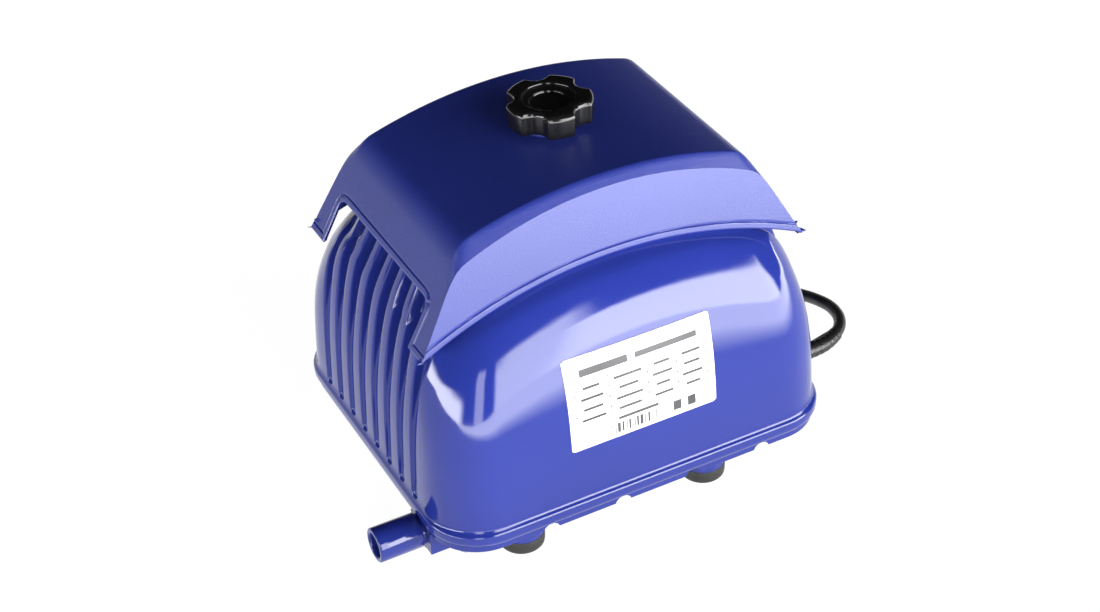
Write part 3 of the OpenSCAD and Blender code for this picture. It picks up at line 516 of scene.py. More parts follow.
def sag(h):
    return eased((h - SAG_FROM) / (SAG_TO - SAG_FROM))


print("half length at mid height:", round(HX - through(70, 1), 1), "mm")

# %% [markdown]
# ## One level of the housing
# A level is a closed outline seen from above. Each flute is drawn with the same number of
# points at every level, so that the levels join into clean quads: a small round over at each
# fin, a nearly upright side and a flat floor. At its foot a flute starts narrow and widens in
# a quarter circle, which is how its round lower end comes about.

# %% Draw a level
# place across a flute's edge, counted outwards from it, and the share of the depth there
flute_edge = [(0.8, 0), (0.35, 0.02), (0.1, 0.12), (-0.12, 0.38), (-0.32, 0.68),
              (-0.55, 0.9), (-0.85, 0.985), (-1.4, 1)]
CORNER_STEPS, SIDE_STEPS = 12, 14
FOOT_OF_FLUTE, ROUND_FOOT = 7.4, 4.2


def end_of_level(hx, hy, r, k, width, depth, narrow):
    points = []
    for i in range(FLUTES):
        yc = (i - (FLUTES - 1) / 2) * PITCH
        half = [(width / 2 * narrow + e * (narrow if e < 0 else 1), share)
                for e, share in flute_edge]
        across = ([(-u, s) for u, s in half] + [(0, 1)]
                  + [(u, s) for u, s in reversed(half)])
        for u, share in across:
            y = (yc + u) * k
            over = abs(y) - hy + r
            x = hx if over <= 0 else hx - r + math.sqrt(max(0, r * r - over * over))
            points.append((x - share * depth, y))
    return points


def level(h, inset=0.0, fluted=True, at=None):
    """One closed outline, h above the rim. at gives half sizes, radius, z and sag instead."""
    hx, hy = HX - through(h, 1) - inset, HY - through(h, 2) - inset
    r, z, follow = CORNER_R - inset, RIM + h, sag(h)
    if at:
        hx, hy, r, z, follow = at
    depth = through(h, 3)
    narrow = 1.0
    if h < FOOT_OF_FLUTE + ROUND_FOOT:
        t = max(0.0, (h - FOOT_OF_FLUTE) / ROUND_FOOT)
        narrow = max(0.12, math.sqrt(max(0, 1 - (1 - t)**2)))
        depth = depth * eased(t * 3)
    if not fluted:
        depth = 0
    width = FLUTE_W + FLARE * eased(h / SAG_TO)
    k = min(1, (hy - 3) / END_EDGE)
    end = end_of_level(hx, hy, r, k, width, depth, narrow)
    a0 = math.asin(min(0.95, max(0, (END_EDGE * k - hy + r) / r)))
    corner = [(hx - r + r * math.cos(a), hy - r + r * math.sin(a))
              for a in np.linspace(a0, math.pi / 2, CORNER_STEPS)]
    side = [((hx - r) * (1 - 2 * i / SIDE_STEPS), hy) for i in range(1, SIDE_STEPS)]
    half = end + corner + side + [(-x, y) for x, y in reversed(corner)]
    return [((x * s + mid_x / MM) * MM, y * s * MM,
             (z - follow * arc_drop(x, SAG_R)) * MM) for s in (1, -1) for x, y in half]


print("points in a level:", len(level(70)))

# %% [markdown]
# ## The housing
# The outer levels go up to the crown, step down into the well that holds the filter, and an
# inner set comes back down to the rim, so the moulding has its real wall. Levels lie close
# together at the rim and at the shoulder, where the light shows every change of curve.

# %% Build the housing
heights = np.concatenate([np.linspace(0, 12, 19), np.arange(13, 98, 3.0),
                          np.arange(98, 138.1, 1.25)])
rings = [level(h) for h in heights]
crown = stations[-1]
top_hx, top_hy, top_z = HX - crown[1], HY - crown[2], RIM + crown[0]
WELL_HX, WELL_HY, LEDGE = 70, 44, 8
well_z = top_z - 10
for hx, hy, r, z, follow in [
        (top_hx - 0.5, top_hy - 0.5, CORNER_R - 1, top_z - 0.1, 1),
        (top_hx - 1.2, top_hy - 1.2, CORNER_R - 2, top_z - 0.6, 1),
        (WELL_HX + 1, WELL_HY + 1, 13, well_z + 1.5, 0),
        (WELL_HX + 0.2, WELL_HY + 0.2, 12, well_z + 0.4, 0),
        (WELL_HX, WELL_HY, 12, well_z, 0), (WELL_HX - LEDGE, WELL_HY - LEDGE, 12, well_z, 0),
        (WELL_HX - LEDGE, WELL_HY - LEDGE, 12, well_z - WALL, 0),
        (WELL_HX + 1, WELL_HY + 1, 12, well_z - WALL, 0)]:
    rings.append(level(crown[0], fluted=False, at=(hx, hy, r, z, follow)))
for h in (128, 119, 114, 108, 98, 78, 58, 38, 18, 10, 7.7, 5.5, 0):
    rings.append(level(h, inset=WALL, fluted=False,
                       at=(HX - through(h, 1) - WALL - through(h, 3), HY - through(h, 2) - WALL,
                           CORNER_R - WALL, RIM + h, sag(h))))
points, faces = skin(rings, closed=True)
piece("housing_shell", points, faces, "root", gloss_blue,
      ["housing"], sharp=50)
print("housing faces:", len(faces))

# %% [markdown]
# ## The cover's faces
# The cover is an arched lid. Four simple surfaces bound it: a cylinder for the crown, a 45
# degree band along each long edge, a steep front wall and a leaning end wall. Written as
# heights over the plan, the outside of the cover is the lowest of them at each place, and a
# rounded minimum gives the soft roll between crown and end.

# %% Describe the cover's faces
cover_lo, cover_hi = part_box("top_cover")
LID_HX = (cover_hi.x - cover_lo.x) / 2 / MM
LID_HY = cover_hi.y / MM
LIP_Z = cover_lo.z / MM
KNOB_BOSS_Z = cover_hi.z / MM
CROWN_R, LIP_R = 233.0, 242.0
LIP_MID_Z = LIP_Z + arc_drop(LID_HX, LIP_R)
SIDE_H = 39.0
CROWN_Z = LIP_MID_Z + SIDE_H
END_LEAN, SIDE_LEAN = math.radians(29), math.radians(8.15)
BAND_DROP, BAND_IN = 6.9, 6.4
CREASE_RISE = 42.6
band_y = LID_HY - CREASE_RISE * math.tan(SIDE_LEAN)      # where the band meets the wall


def lower_of(a, b, roll):
    """The smaller of two heights with a rounded change between them."""
    h = max(roll - abs(a - b), 0) / roll
    return min(a, b) - h * h * roll / 4


def roof(x, y):
    into = (abs(y) - band_y + BAND_IN) * BAND_DROP / BAND_IN
    drop = -lower_of(0.0, -into, 1.2)
    crown_z = CROWN_Z - CROWN_R + math.sqrt((CROWN_R - drop)**2 - x * x)
    end_z = LIP_Z + (LID_HX - abs(x)) / math.tan(END_LEAN)
    return lower_of(crown_z, end_z, 7.0)


def wall_z(y):
    return LIP_Z + (LID_HY - abs(y)) / math.tan(SIDE_LEAN)


def crease_y(x):
    y = band_y
    for _ in range(12):
        y = LID_HY - (roof(x, y) - LIP_Z) * math.tan(SIDE_LEAN)
    return y


def lip_z(x):
    return LIP_MID_Z - arc_drop(x, LIP_R)


def lip_y(x):
    return LID_HY - (lip_z(x) - LIP_Z) * math.tan(SIDE_LEAN)


print("crown, lip at mid, lip at the end:", round(CROWN_Z, 1), round(LIP_MID_Z, 1), LIP_Z)

# %% [markdown]
# ## A grid that follows the creases
# A lid like this shades well only if the mesh lines run along its creases. Over the plan the
# lines are laid out so that the vertical edge between front and end falls exactly on the
# diagonal of a corner block, and extra lines run beside the lip and round the air gap, where
# a thin bead line is pressed into the plastic.

# %% Lay out the cover's lines
CORNER_X = 80.0
GAP_HY = LID_HY - 15.5
GAP_UP = 22 / math.cos(END_LEAN)      # the gap's height measured up the slope
GAP_R = 5.0
WALL_H = 32.5
slope_len = (LID_HX - CORNER_X) / math.sin(END_LEAN)
beside_lip = (0, 0.35, 0.8, 1.5, 3.0, 3.35, 3.6, 3.85, 4.2, 5.2)

shares = {round(s, 5) for s in np.linspace(0, 1, 19)}
shares |= {round(1 - d / WALL_H, 5) for d in beside_lip}
shares |= {round(1 - d / slope_len, 5) for d in beside_lip}
shares |= {round(1 - (GAP_UP + d) / slope_len, 5) for d in beside_lip}
shares |= {round(1 - (GAP_UP - d) / slope_len, 5) for d in (1.25, 2.5, 3.75, 5)}
must = {round(1 - GAP_UP / slope_len, 5), 0.0, 1.0}
steps = []
for s in sorted(shares):
    if steps and s - steps[-1] < 0.006:
        if s in must:
            steps[-1] = s
        continue
    steps.append(s)
corner_steps = np.array(steps)

xs = np.concatenate([np.arange(0, 60, 5.0), np.arange(60, CORNER_X, 2.5),
                     CORNER_X + (LID_HX - CORNER_X) * corner_steps])
first_corner = len(xs) - len(corner_steps)
corner_crease = crease_y(CORNER_X)
inner_ys = [0, 8, 16, 24, 32, 39, GAP_HY - 5, GAP_HY - 3.75, GAP_HY - 2.5, GAP_HY - 1.25]
inner_ys += [GAP_HY + d for d in beside_lip] + [56.2, 57.4, 58.3, 58.9]
across = [y / corner_crease for y in inner_ys if y < corner_crease - 0.3]
crease_row = len(across)
gap_row = inner_ys.index(GAP_HY)
gap_column = int(np.argmin(abs(xs - (LID_HX - GAP_UP * math.sin(END_LEAN)))))
print("columns, rows to a side:", len(xs), crease_row + len(corner_steps))

# %% [markdown]
# ## Place the grid's points
# Above the crease the rows are fractions of the crease's own place, below it they are
# fractions of the wall, and past the corner edge they run straight down the end wall. The
# gap's square corner is then rounded by pulling nearby points towards a circle.

# %% Place one point of the cover
def share_of(x):
    return (abs(x) - CORNER_X) / (LID_HX - CORNER_X)


def row_y(i, row):
    """Plan place of a point on column i and row, for the quarter with x and y positive."""
    x = xs[i]
    if row < crease_row:
        return across[row] * crease_y(min(x, CORNER_X))
    k = row - crease_row
    own = first_corner + k
    if i > own:
        return crease_y(xs[own])
    s = max(0.0, share_of(x))
    part = 0 if i == own else (corner_steps[k] - s) / (1 - s)
    return crease_y(x) + (lip_y(x) - crease_y(x)) * part


def round_gap(x, y):
    """Pull a point near the gap's corner towards a round corner."""
    up = (LID_HX - x) / math.sin(END_LEAN)
    u, v = y - (GAP_HY - GAP_R), up - (GAP_UP - GAP_R)
    if u <= 0 or v <= 0:
        return x, y
    square = max(u, v)
    pull = 1 - eased((square - GAP_R) / 7) if square > GAP_R else 1
    to_circle = square / math.hypot(u, v)
    u, v = u * (1 + (to_circle - 1) * pull), v * (1 + (to_circle - 1) * pull)
    return LID_HX - (v + GAP_UP - GAP_R) * math.sin(END_LEAN), u + GAP_HY - GAP_R


def edge_distance(x, y, z, on_front):
    """Distance along the surface to the nearest lower edge, and the way that is outwards."""
    if on_front:
        fall = math.cos(math.asin(min(0.99, x / LIP_R)))
        return (z - lip_z(x)) * fall, (0, math.cos(SIDE_LEAN), math.sin(SIDE_LEAN))
    up = (LID_HX - x) / math.sin(END_LEAN)
    u, v = y - (GAP_HY - GAP_R), up - (GAP_UP - GAP_R)
    gap = math.hypot(max(u, 0), max(v, 0)) - GAP_R if max(u, v) > 0 else 0
    if y < GAP_HY - GAP_R:
        gap = up - GAP_UP
    return min(up, max(gap, 0)) if y > GAP_HY - 6 else gap, (
        math.cos(END_LEAN), 0, math.sin(END_LEAN))


BEAD_AT, BEAD_DEEP, BEAD_W = 3.6, 0.42, 0.28
LIP_PROUD, LIP_ROLL = 0.3, 0.8


def outwards(d):
    """How far the surface stands out, d from a lower edge."""
    proud = LIP_PROUD * (1 - eased((d - 3.0) / 0.8))
    bead = -BEAD_DEEP * math.exp(-((d - BEAD_AT) / BEAD_W)**2)
    roll = -0.55 * max(0, 1 - d / LIP_ROLL)**2
    return proud + bead + roll


print("cover helpers ready")

# %% [markdown]
# ## The cover
# One quarter is worked out and mirrored. The open sheet is then thickened inwards, and two
# bevels finish it: a small one on the crease and the corner edges, and a smaller one on the
# rim that the thickening leaves.

# %% Build the cover
rows = crease_row + len(corner_steps)
quarter = np.zeros((len(xs), rows, 3))
for i, column_x in enumerate(xs):
    for j in range(rows):
        x, y = column_x, row_y(i, j)
        on_front = j > crease_row and i <= first_corner + j - crease_row
        if not on_front and i > first_corner:
            x, y = round_gap(x, y)
        z = wall_z(y) if on_front else roof(x, y)
        if on_front or x > CORNER_X + 4:
            d, out = edge_distance(x, y, z, on_front)
            move = outwards(d)
            x, y, z = x + move * out[0], y + move * out[1], z + move * out[2]
        quarter[i, j] = x, y, z

index, points, faces, hard = {}, [], [], {}
BEVEL_STOP = 2.5      # mm above the tips where the corner bevel ends
NX, NY = len(xs) - 1, rows - 1


def vertex(i, j):
    if (i, j) not in index:
        x, y, z = quarter[abs(i), abs(j)]
        index[i, j] = len(points)
        points.append(((math.copysign(x, i) if i else 0) * MM + mid_x,
                       (math.copysign(y, j) if j else 0) * MM, z * MM))
    return index[i, j]


def in_gap(i, j):
    near_i, near_j = min(abs(i), abs(i + 1)), min(abs(j), abs(j + 1))
    return near_i >= gap_column and near_j < gap_row


for i in range(-NX, NX):
    for j in range(-NY, NY):
        if in_gap(i, j):
            continue
        corners = [(i, j), (i + 1, j), (i + 1, j + 1), (i, j + 1)]
        k = min(abs(i), abs(i + 1)) - first_corner
        if k >= 0 and min(abs(j), abs(j + 1)) - crease_row == k:
            if (i >= 0) == (j >= 0):
                cut, rest = (0, 2), ((0, 1, 2), (0, 2, 3))
            else:
                cut, rest = (1, 3), ((0, 1, 3), (1, 2, 3))
            faces += [tuple(vertex(*corners[c]) for c in three) for three in rest]
            crease = tuple(sorted(vertex(*corners[c]) for c in cut))
            hard[crease] = 1.0 if (1 - corner_steps[k + 1]) * slope_len > BEVEL_STOP else 0.0
        else:
            faces.append(tuple(vertex(*c) for c in corners))
for i in range(-first_corner, first_corner):
    for j in (-crease_row, crease_row):
        hard[tuple(sorted((vertex(i, j), vertex(i + 1, j))))] = 1.0

cover = piece("cover_shell", points, faces, "cover", satin_blue,
              ["top_cover"], sharp=40)
weights = cover.data.attributes.new("bevel_weight_edge", "FLOAT", "EDGE")
for edge in cover.data.edges:
    weights.data[edge.index].value = hard.get(tuple(sorted(edge.vertices)), 0.0)

crease_bevel = cover.modifiers.new("crease", "BEVEL")
crease_bevel.limit_method, crease_bevel.width = "WEIGHT", 0.0009
crease_bevel.segments = 3
walls = cover.modifiers.new("wall", "SOLIDIFY")
walls.thickness, walls.offset = 0.0025, -1
rim_bevel = cover.modifiers.new("rim", "BEVEL")
rim_bevel.limit_method, rim_bevel.angle_limit = "ANGLE", math.radians(50)
rim_bevel.width, rim_bevel.segments = 0.0003, 2
even = cover.modifiers.new("even_shading", "WEIGHTED_NORMAL")
even.keep_sharp = True
print("cover faces:", len(faces), "hard edges:", len(hard))

# %% [markdown]
# ## The boss under the knob
# A low round boss gives the knob a flat seat on the arch. It is a turned form with a hollow
# fillet at its foot, and it starts just below the crown so that no gap shows.

# %% Turn the boss
BOSS_R, FOOT_R = 0.013, 0.0022
crown = CROWN_Z * MM
boss_top = KNOB_BOSS_Z * MM
boss_line = ([(BOSS_R + FOOT_R + 0.001, crown - 0.0018)]
             + [(BOSS_R + FOOT_R - r, z + crown - 0.0006) for r, z in
                [(0, 0), (0.0009, 0.0001), (0.0016, 0.0005), (0.0021, 0.0011)]]
             + fillet((BOSS_R - 0.0004, boss_top - 0.0004), 0.0004, 0, 90, 4)
             + [(0.0045, boss_top), (0.0045, crown - 0.0018)])
points, faces = skin(turned(boss_line, (mid_x, 0, 0)), closed=True)
piece("cover_boss", points, faces, "cover", satin_blue)
print("boss top:", round(boss_top, 4))

# %% [markdown]
# ## The knob
# A five-lobed knob in glossy black, with a stepped dish in its top. Its outline is a circle
# with round valleys cut in; each ring of the mesh follows that outline near the rim and turns
# into a plain circle at the dish.

# %% Shape the knob
knob_lo, knob_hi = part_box("knob")
KNOB_R = 0.0215
LOBES, VALLEY_AT, VALLEY_R, TWIST = 5, 0.0247, 0.0075, math.radians(43.5)
KNOB_SIDES = 360


def lobed(angle):
    """Radius of the knob's outline at an angle."""
    step = 2 * math.pi / LOBES
    a = (angle - TWIST) % step - step / 2
    side = VALLEY_R**2 - (VALLEY_AT * math.sin(a))**2
    if side <= 0:
        return KNOB_R
    valley = VALLEY_AT * math.cos(a) - math.sqrt(side)
    return lower_of(KNOB_R, valley, 0.0028)


knob_h = knob_hi.z - knob_lo.z
ROLL_R = 0.0026
dish_r, inner_dish_r = 0.6 * KNOB_R, 0.45 * KNOB_R
dish_z, inner_dish_z = knob_h - 0.0025, knob_h - 0.004
profile = [(0.90, 0.0), (0.965, 0.0002), (0.985, 0.0009), (0.99, 0.003),
           (1.0, knob_h - ROLL_R)]
for t in np.linspace(15, 90, 6):
    t = math.radians(t)
    profile.append((1 - (1 - math.cos(t)) * ROLL_R / KNOB_R,
                    knob_h - ROLL_R + ROLL_R * math.sin(t)))
rings = []


def knob_ring(share, z, round_share):
    """share scales the lobed outline, round_share turns it into a circle."""
    ring = []
    for a in np.linspace(0, 2 * math.pi, KNOB_SIDES, endpoint=False):
        r = lobed(a) * share
        r = r + (KNOB_R * share - r) * round_share
        ring.append((mid_x + r * math.cos(a), r * math.sin(a), knob_lo.z + z))
    return ring


hole = 0.004 / KNOB_R
rings.append(knob_ring(hole, 0.0, 1))
rings.append(knob_ring(0.6, 0.0, 1))
for share, z in profile:
    rings.append(knob_ring(share, z, 0))
rings.append(knob_ring(0.80, knob_h, 0.25))
for r, z in ([(dish_r + 0.0012, knob_h), (dish_r + 0.0006, knob_h - 0.0001),
              (dish_r + 0.0002, knob_h - 0.0005), (dish_r, knob_h - 0.001),
              (dish_r - 0.0001, dish_z + 0.0003), (dish_r - 0.0005, dish_z),
              (inner_dish_r + 0.0005, dish_z), (inner_dish_r + 0.0001, dish_z - 0.0002),
              (inner_dish_r, dish_z - 0.0005), (inner_dish_r - 0.0002, inner_dish_z + 0.0003),
              (inner_dish_r - 0.0006, inner_dish_z), (0.0015, inner_dish_z + 0.0006)]):
    rings.append(knob_ring(r / KNOB_R, z, 1))
points, faces = skin(rings)
piece("hand_knob", points, faces, "knob", knob_black, ["knob"], sharp=45)
print("knob height, mm:", round(knob_h / MM, 1))

# %% [markdown]
# ## The base tray and the filter tray
# These parts already have their shape in the model, but moulded edges are never knife sharp.
# A copy of each mesh is cleaned up, its edges get a small bevel, and the copy stands in for
# the imported part.

# %% Soften the moulded parts
def softened(node, width, made, body="root", name=None):
    mesh = nodes[node].data.copy()
    work = bmesh.new()
    work.from_mesh(mesh)
    bmesh.ops.remove_doubles(work, verts=work.verts, dist=0.00001)
    bmesh.ops.dissolve_limit(work, angle_limit=math.radians(0.5), verts=work.verts,
                             edges=work.edges)
    work.to_mesh(mesh)
    work.free()
    if "custom_normal" in mesh.attributes:
        mesh.attributes.remove(mesh.attributes["custom_normal"])
    mesh.materials.clear()
    mesh.materials.append(made)
    mesh.shade_smooth()
    mesh.set_sharp_from_angle(angle=math.radians(32))
    thing = bpy.data.objects.new(name or node + "_soft", mesh)
    bpy.context.scene.collection.objects.link(thing)
    edge = thing.modifiers.new("edges", "BEVEL")
    edge.limit_method, edge.angle_limit = "ANGLE", math.radians(32)
    edge.width, edge.segments = width, 2
    even = thing.modifiers.new("even_shading", "WEIGHTED_NORMAL")
    even.keep_sharp = True
    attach(thing, body)
    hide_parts(node)
    return thing


tray = softened("base_tray", 0.0004, gloss_blue)
filter_plate = softened("filter_tray", 0.0003, tray_grey)
print("softened:", tray.name, filter_plate.name)

# %% [markdown]
# ## The outlet pipe
# Hoses are pushed over this pipe, so its mouth is rounded and its bore has a small lead-in.
# It is a turned form: one profile carried round the pipe's own line.

# %% Turn the outlet pipe
pipe_lo, pipe_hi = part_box("outlet_pipe")
PIPE_R, BORE_R, SPIGOT_R = 0.009, 0.0063, 0.008
pipe_y, pipe_z = (pipe_lo.y + pipe_hi.y) / 2, (pipe_lo.z + pipe_hi.z) / 2
mouth = pipe_lo.x
shoulder = mid_x - half_l - mouth
deep = pipe_hi.x - mouth
pipe_line = ([(BORE_R, 0.0016), (BORE_R + 0.0001, 0.0008), (BORE_R + 0.0004, 0.0003),
              (BORE_R + 0.0009, 0.0)]
             + [(PIPE_R - 0.0009, 0.0), (PIPE_R - 0.0004, 0.00015), (PIPE_R - 0.0001, 0.0005),
                (PIPE_R, 0.0011), (PIPE_R, 0.004), (PIPE_R, shoulder - 0.0004),
                (PIPE_R - 0.0003, shoulder), (SPIGOT_R, shoulder), (SPIGOT_R, deep),
                (BORE_R, deep), (BORE_R, 0.02)])
points, faces = skin(turned(pipe_line, (mouth, pipe_y, pipe_z), (1, 0, 0)), closed=True)
piece("hose_spigot", points, faces, "root", gloss_blue,
      ["outlet_pipe"], sharp=50)
print("pipe reaches out, mm:", round(shoulder / MM, 1))

# %% [markdown]
# ## Rubber feet
# Each foot is a rubber cup with a rolled lower edge. It is pushed over a round boss of the
# tray, and its stem holds it there.

# %% Turn the feet
foot_line = [(0.0002, 0.0006), (0.0070, 0.0006), (0.0078, 0.0), (0.0098, 0.0),
             (0.0108, 0.00025), (0.0113, 0.0009), (0.0115, 0.0020), (0.0116, 0.0045),
             (0.0116, 0.0068), (0.0114, 0.0073), (0.0109, 0.0075), (0.0040, 0.0075),
             (0.0040, 0.0090), (0.0002, 0.0090)]
for side in ("front_left", "front_right", "rear_left", "rear_right"):
    lo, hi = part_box("foot_" + side)
    points, faces = skin(turned(foot_line, ((lo.x + hi.x) / 2, (lo.y + hi.y) / 2, lo.z)))
    piece("rubber_foot_" + side, points, faces, "root", foot_rubber,
          ["foot_" + side])
print("four feet turned")

# %% [markdown]
# ## The gland and its sleeve
# A bead-like collar seals the lead in the wall, and a tapered sleeve keeps the lead from being
# bent sharply there. The sleeve follows the lead's own points, and shallow rings round it let
# it flex.

# %% Build the gland and the sleeve
gland_lo, gland_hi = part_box("cord_gland")
gland_mid = Vector((gland_hi.x, (gland_lo.y + gland_hi.y) / 2, (gland_lo.z + gland_hi.z) / 2))
gland_line = ([(LEAD_D / 2, -0.014), (0.0044, -0.014), (0.0044, -0.0032)]
              + [(0.0058, -0.0032), (0.006, -0.0026), (0.006, -0.0012), (0.0056, -0.0004),
                 (0.0050, 0.0), (LEAD_D / 2, 0.0)])
points, faces = skin(turned(gland_line, gland_mid, (1, 0, 0), 64), closed=True)
piece("lead_gland", points, faces, "root", sheath_black,
      ["cord_gland"])


SLEEVE_ROOT, SLEEVE_TIP, FLEX_DEEP, FLEX_RINGS = 0.0046, 0.00375, 0.00022, 7
sleeve_line = spaced(free_run[:SLEEVE_POINTS], 0.0004)
last = len(sleeve_line) - 1
radii = []
for i in range(last + 1):
    t = i / last
    flex = FLEX_DEEP * max(0, math.sin(t * FLEX_RINGS * 2 * math.pi)) * (0.1 < t < 0.9)
    radii.append(SLEEVE_ROOT + (SLEEVE_TIP - SLEEVE_ROOT) * t - flex)
inner = LEAD_D / 2 + 0.0001
rings = (tube(sleeve_line, radii, 40)
         + [tube(sleeve_line, [inner] * (last + 1), 40)[k] for k in (last, 0)])
points, faces = skin(rings, closed=True)
sleeve = piece("lead_sleeve", points, faces, "root", sheath_black,
               ["cord_sleeve"], sharp=50)
points, faces = skin(tube(lead_line, [LEAD_D / 2] * len(lead_line)))
lead = piece("mains_lead", points, faces, "root", sheath_black,
             ["mains_cord", "cord_coil"])
print("gland, sleeve and lead built")

# %% [markdown]
# ## The plug
# The plug body is a stack of rounded outlines seen from above: broad at the pins, drawn in to
# a neck at the lead, with a soft edge all round and a shallow grip hollow in each face.

# %% Build the plug
PLUG_L, PLUG_W, PLUG_T = (plug_hi - plug_lo)
plug_mid = (plug_lo + plug_hi) / 2
plug_half = [(-0.5, 0.40), (-0.485, 0.455), (-0.45, 0.49), (-0.40, 0.5), (-0.28, 0.5),
             (-0.15, 0.5), (-0.03, 0.495), (0.06, 0.465), (0.16, 0.405), (0.26, 0.33),
             (0.35, 0.25), (0.42, 0.19), (0.47, 0.15), (0.5, 0.128)]
outline = [(x * PLUG_L, y * PLUG_W) for x, y in plug_half]
outline = outline + [(x, -y) for x, y in reversed(outline)]


def plug_ring(inset, z):
    ring = []
    for x, y in outline:
        size = math.hypot(x, y)
        ring.append((plug_mid.x + x * (1 - inset / size), plug_mid.y + y * (1 - inset / size),
                     plug_mid.z + z))
    return ring


half_t = PLUG_T / 2
rings = [plug_ring(0.0045, -half_t + 0.0004), plug_ring(0.0026, -half_t),
         plug_ring(0.0012, -half_t + 0.0004), plug_ring(0.0004, -half_t + 0.0013),
         plug_ring(0.0, -half_t + 0.0028), plug_ring(0.00015, 0), plug_ring(0.0, half_t - 0.0028),
         plug_ring(0.0004, half_t - 0.0013), plug_ring(0.0012, half_t - 0.0004),
         plug_ring(0.0026, half_t), plug_ring(0.0045, half_t - 0.0004)]
points, faces = skin(rings)
plug = piece("mains_plug", points, faces, "root", sheath_black, ["plug_body"],
             sharp=60)
print("plug built")

# %% [markdown]
# ## The rating label
# A white film label sits on the front wall. It follows
# the curved wall, so it is cut from the wall's own surface: for a place along and up the wall
# the stations say how far out the wall is. The print on it is plain rules, bars and blocks.

# %% Find the front wall
side_curve = [(h, HY - through(h, 2)) for h in np.linspace(10, 128, 119)]


def front_wall(x, z):
    """How far forward the wall is at a place along (from the middle) and up, in mm."""
    h = z - RIM
    for _ in range(8):
        h = z + sag(h) * arc_drop(x, SAG_R) - RIM
    return float(np.interp(h, [a for a, _ in side_curve], [b for _, b in side_curve]))


LABEL_X, LABEL_Z, LABEL_L, LABEL_H = -2.0, 59.0, 80.0, 49.0
OFF_WALL = 0.3


def on_label(u, v, off):
    """A point of the label: u and v run from 0 to 1 along and up it."""
    x = LABEL_X + LABEL_L * (u - 0.5)
    z = LABEL_Z + LABEL_H * v
    return ((x + mid_x / MM) * MM, -(front_wall(x, z) + off) * MM, z * MM)


print("wall at the label, mm:", round(front_wall(LABEL_X, LABEL_Z), 1))

# %% [markdown]
# ## Cutting the label and its print
# Patches of the wall are cut as small grids. The film has rounded corners, made by letting its
# edge rows draw in, and a thin edge of its own. Each rule, bar and block is one more patch a
# hair above it, joined into a single print mesh.

# %% Cut the label and print it
def patch(u0, u1, v0, v1, off, nu, nv, corner=0.0):
    points, faces = [], []
    for j in range(nv + 1):
        v = v0 + (v1 - v0) * j / nv
        near = min(v - v0, v1 - v) * LABEL_H
        draw = corner - math.sqrt(max(0, corner**2 - (corner - near)**2)) if near < corner else 0
        for i in range(nu + 1):
            u = u0 + (u1 - u0) * i / nu
            middle = (u0 + u1) / 2
            u = middle + (u - middle) * (1 - 2 * draw / (LABEL_L * (u1 - u0)))
            points.append(on_label(u, v, off))
    for j in range(nv):
        for i in range(nu):
            a = j * (nu + 1) + i
            faces.append((a, a + 1, a + nu + 2, a + nu + 1))
    return points, faces


points, faces = patch(0, 1, 0, 1, OFF_WALL, 48, 60, corner=1.6)
label = piece("label_sheet", points, faces, "root", label_film,
              ["rating_label"])
film = label.modifiers.new("film", "SOLIDIFY")
film.thickness, film.offset = 0.0002, -1

marks = []          # (u0, u1, v0, v1) in mm from the label's lower left corner
RULE = 0.45
left, right, low, high = 4.0, 76.0, 13.0, 45.5
table_rows = (13.0, 18.6, 24.2, 29.8, 35.4)
for z in (*table_rows, high):
    marks.append((left, right, z - RULE / 2, z + RULE / 2))
for x in (left, right):
    marks.append((x - RULE / 2, x + RULE / 2, low, high))
for x in (22.5, 43.5, 59.5):
    marks.append((x - RULE / 2, x + RULE / 2, low, table_rows[-1]))
cells = [((6.0, 20.5), (24.5, 41.5)), ((45.5, 57.5), (61.5, 74.0))]
for r, z in enumerate(table_rows[:-1]):
    for pair, (names, values) in enumerate(cells):
        for c, (a, b) in enumerate((names, values)):
            span = (b - a) * (0.9, 0.72, 0.84, 0.62)[(r + c + 2 * pair) % 4]
            begin = (a + b - span) / 2
            marks.append((begin, begin + span, z + 2.1, z + 3.5))
marks += [(8.0, 34.0, 38.6, 42.4), (38.0, 72.0, 39.0, 42.0)]
bars = (1, 2, 1, 1, 3, 1, 2, 2, 1, 1, 2, 3, 1, 1, 2, 1, 3, 1, 1, 2, 2, 1, 1, 3, 1, 2)
x = 22.0
for i, wide in enumerate(bars):
    if i % 2 == 0:
        marks.append((x, x + wide * 0.55, 2.4, 8.0))
    x += wide * 0.62
marks += [(26.0, 48.0, 9.6, 11.2), (56.0, 60.5, 3.2, 8.6), (64.0, 68.5, 3.2, 8.6)]

points, faces = [], []
for a, b, c, d in marks:
    more, squares = patch(a / LABEL_L, b / LABEL_L, c / LABEL_H, d / LABEL_H, OFF_WALL + 0.03,
                          max(1, round((b - a) / 2)), max(1, round((d - c) / 1.6)))
    faces += [tuple(k + len(points) for k in square) for square in squares]
    points += more
piece("label_print", points, faces, "root", print_ink)
print("label marks:", len(marks))
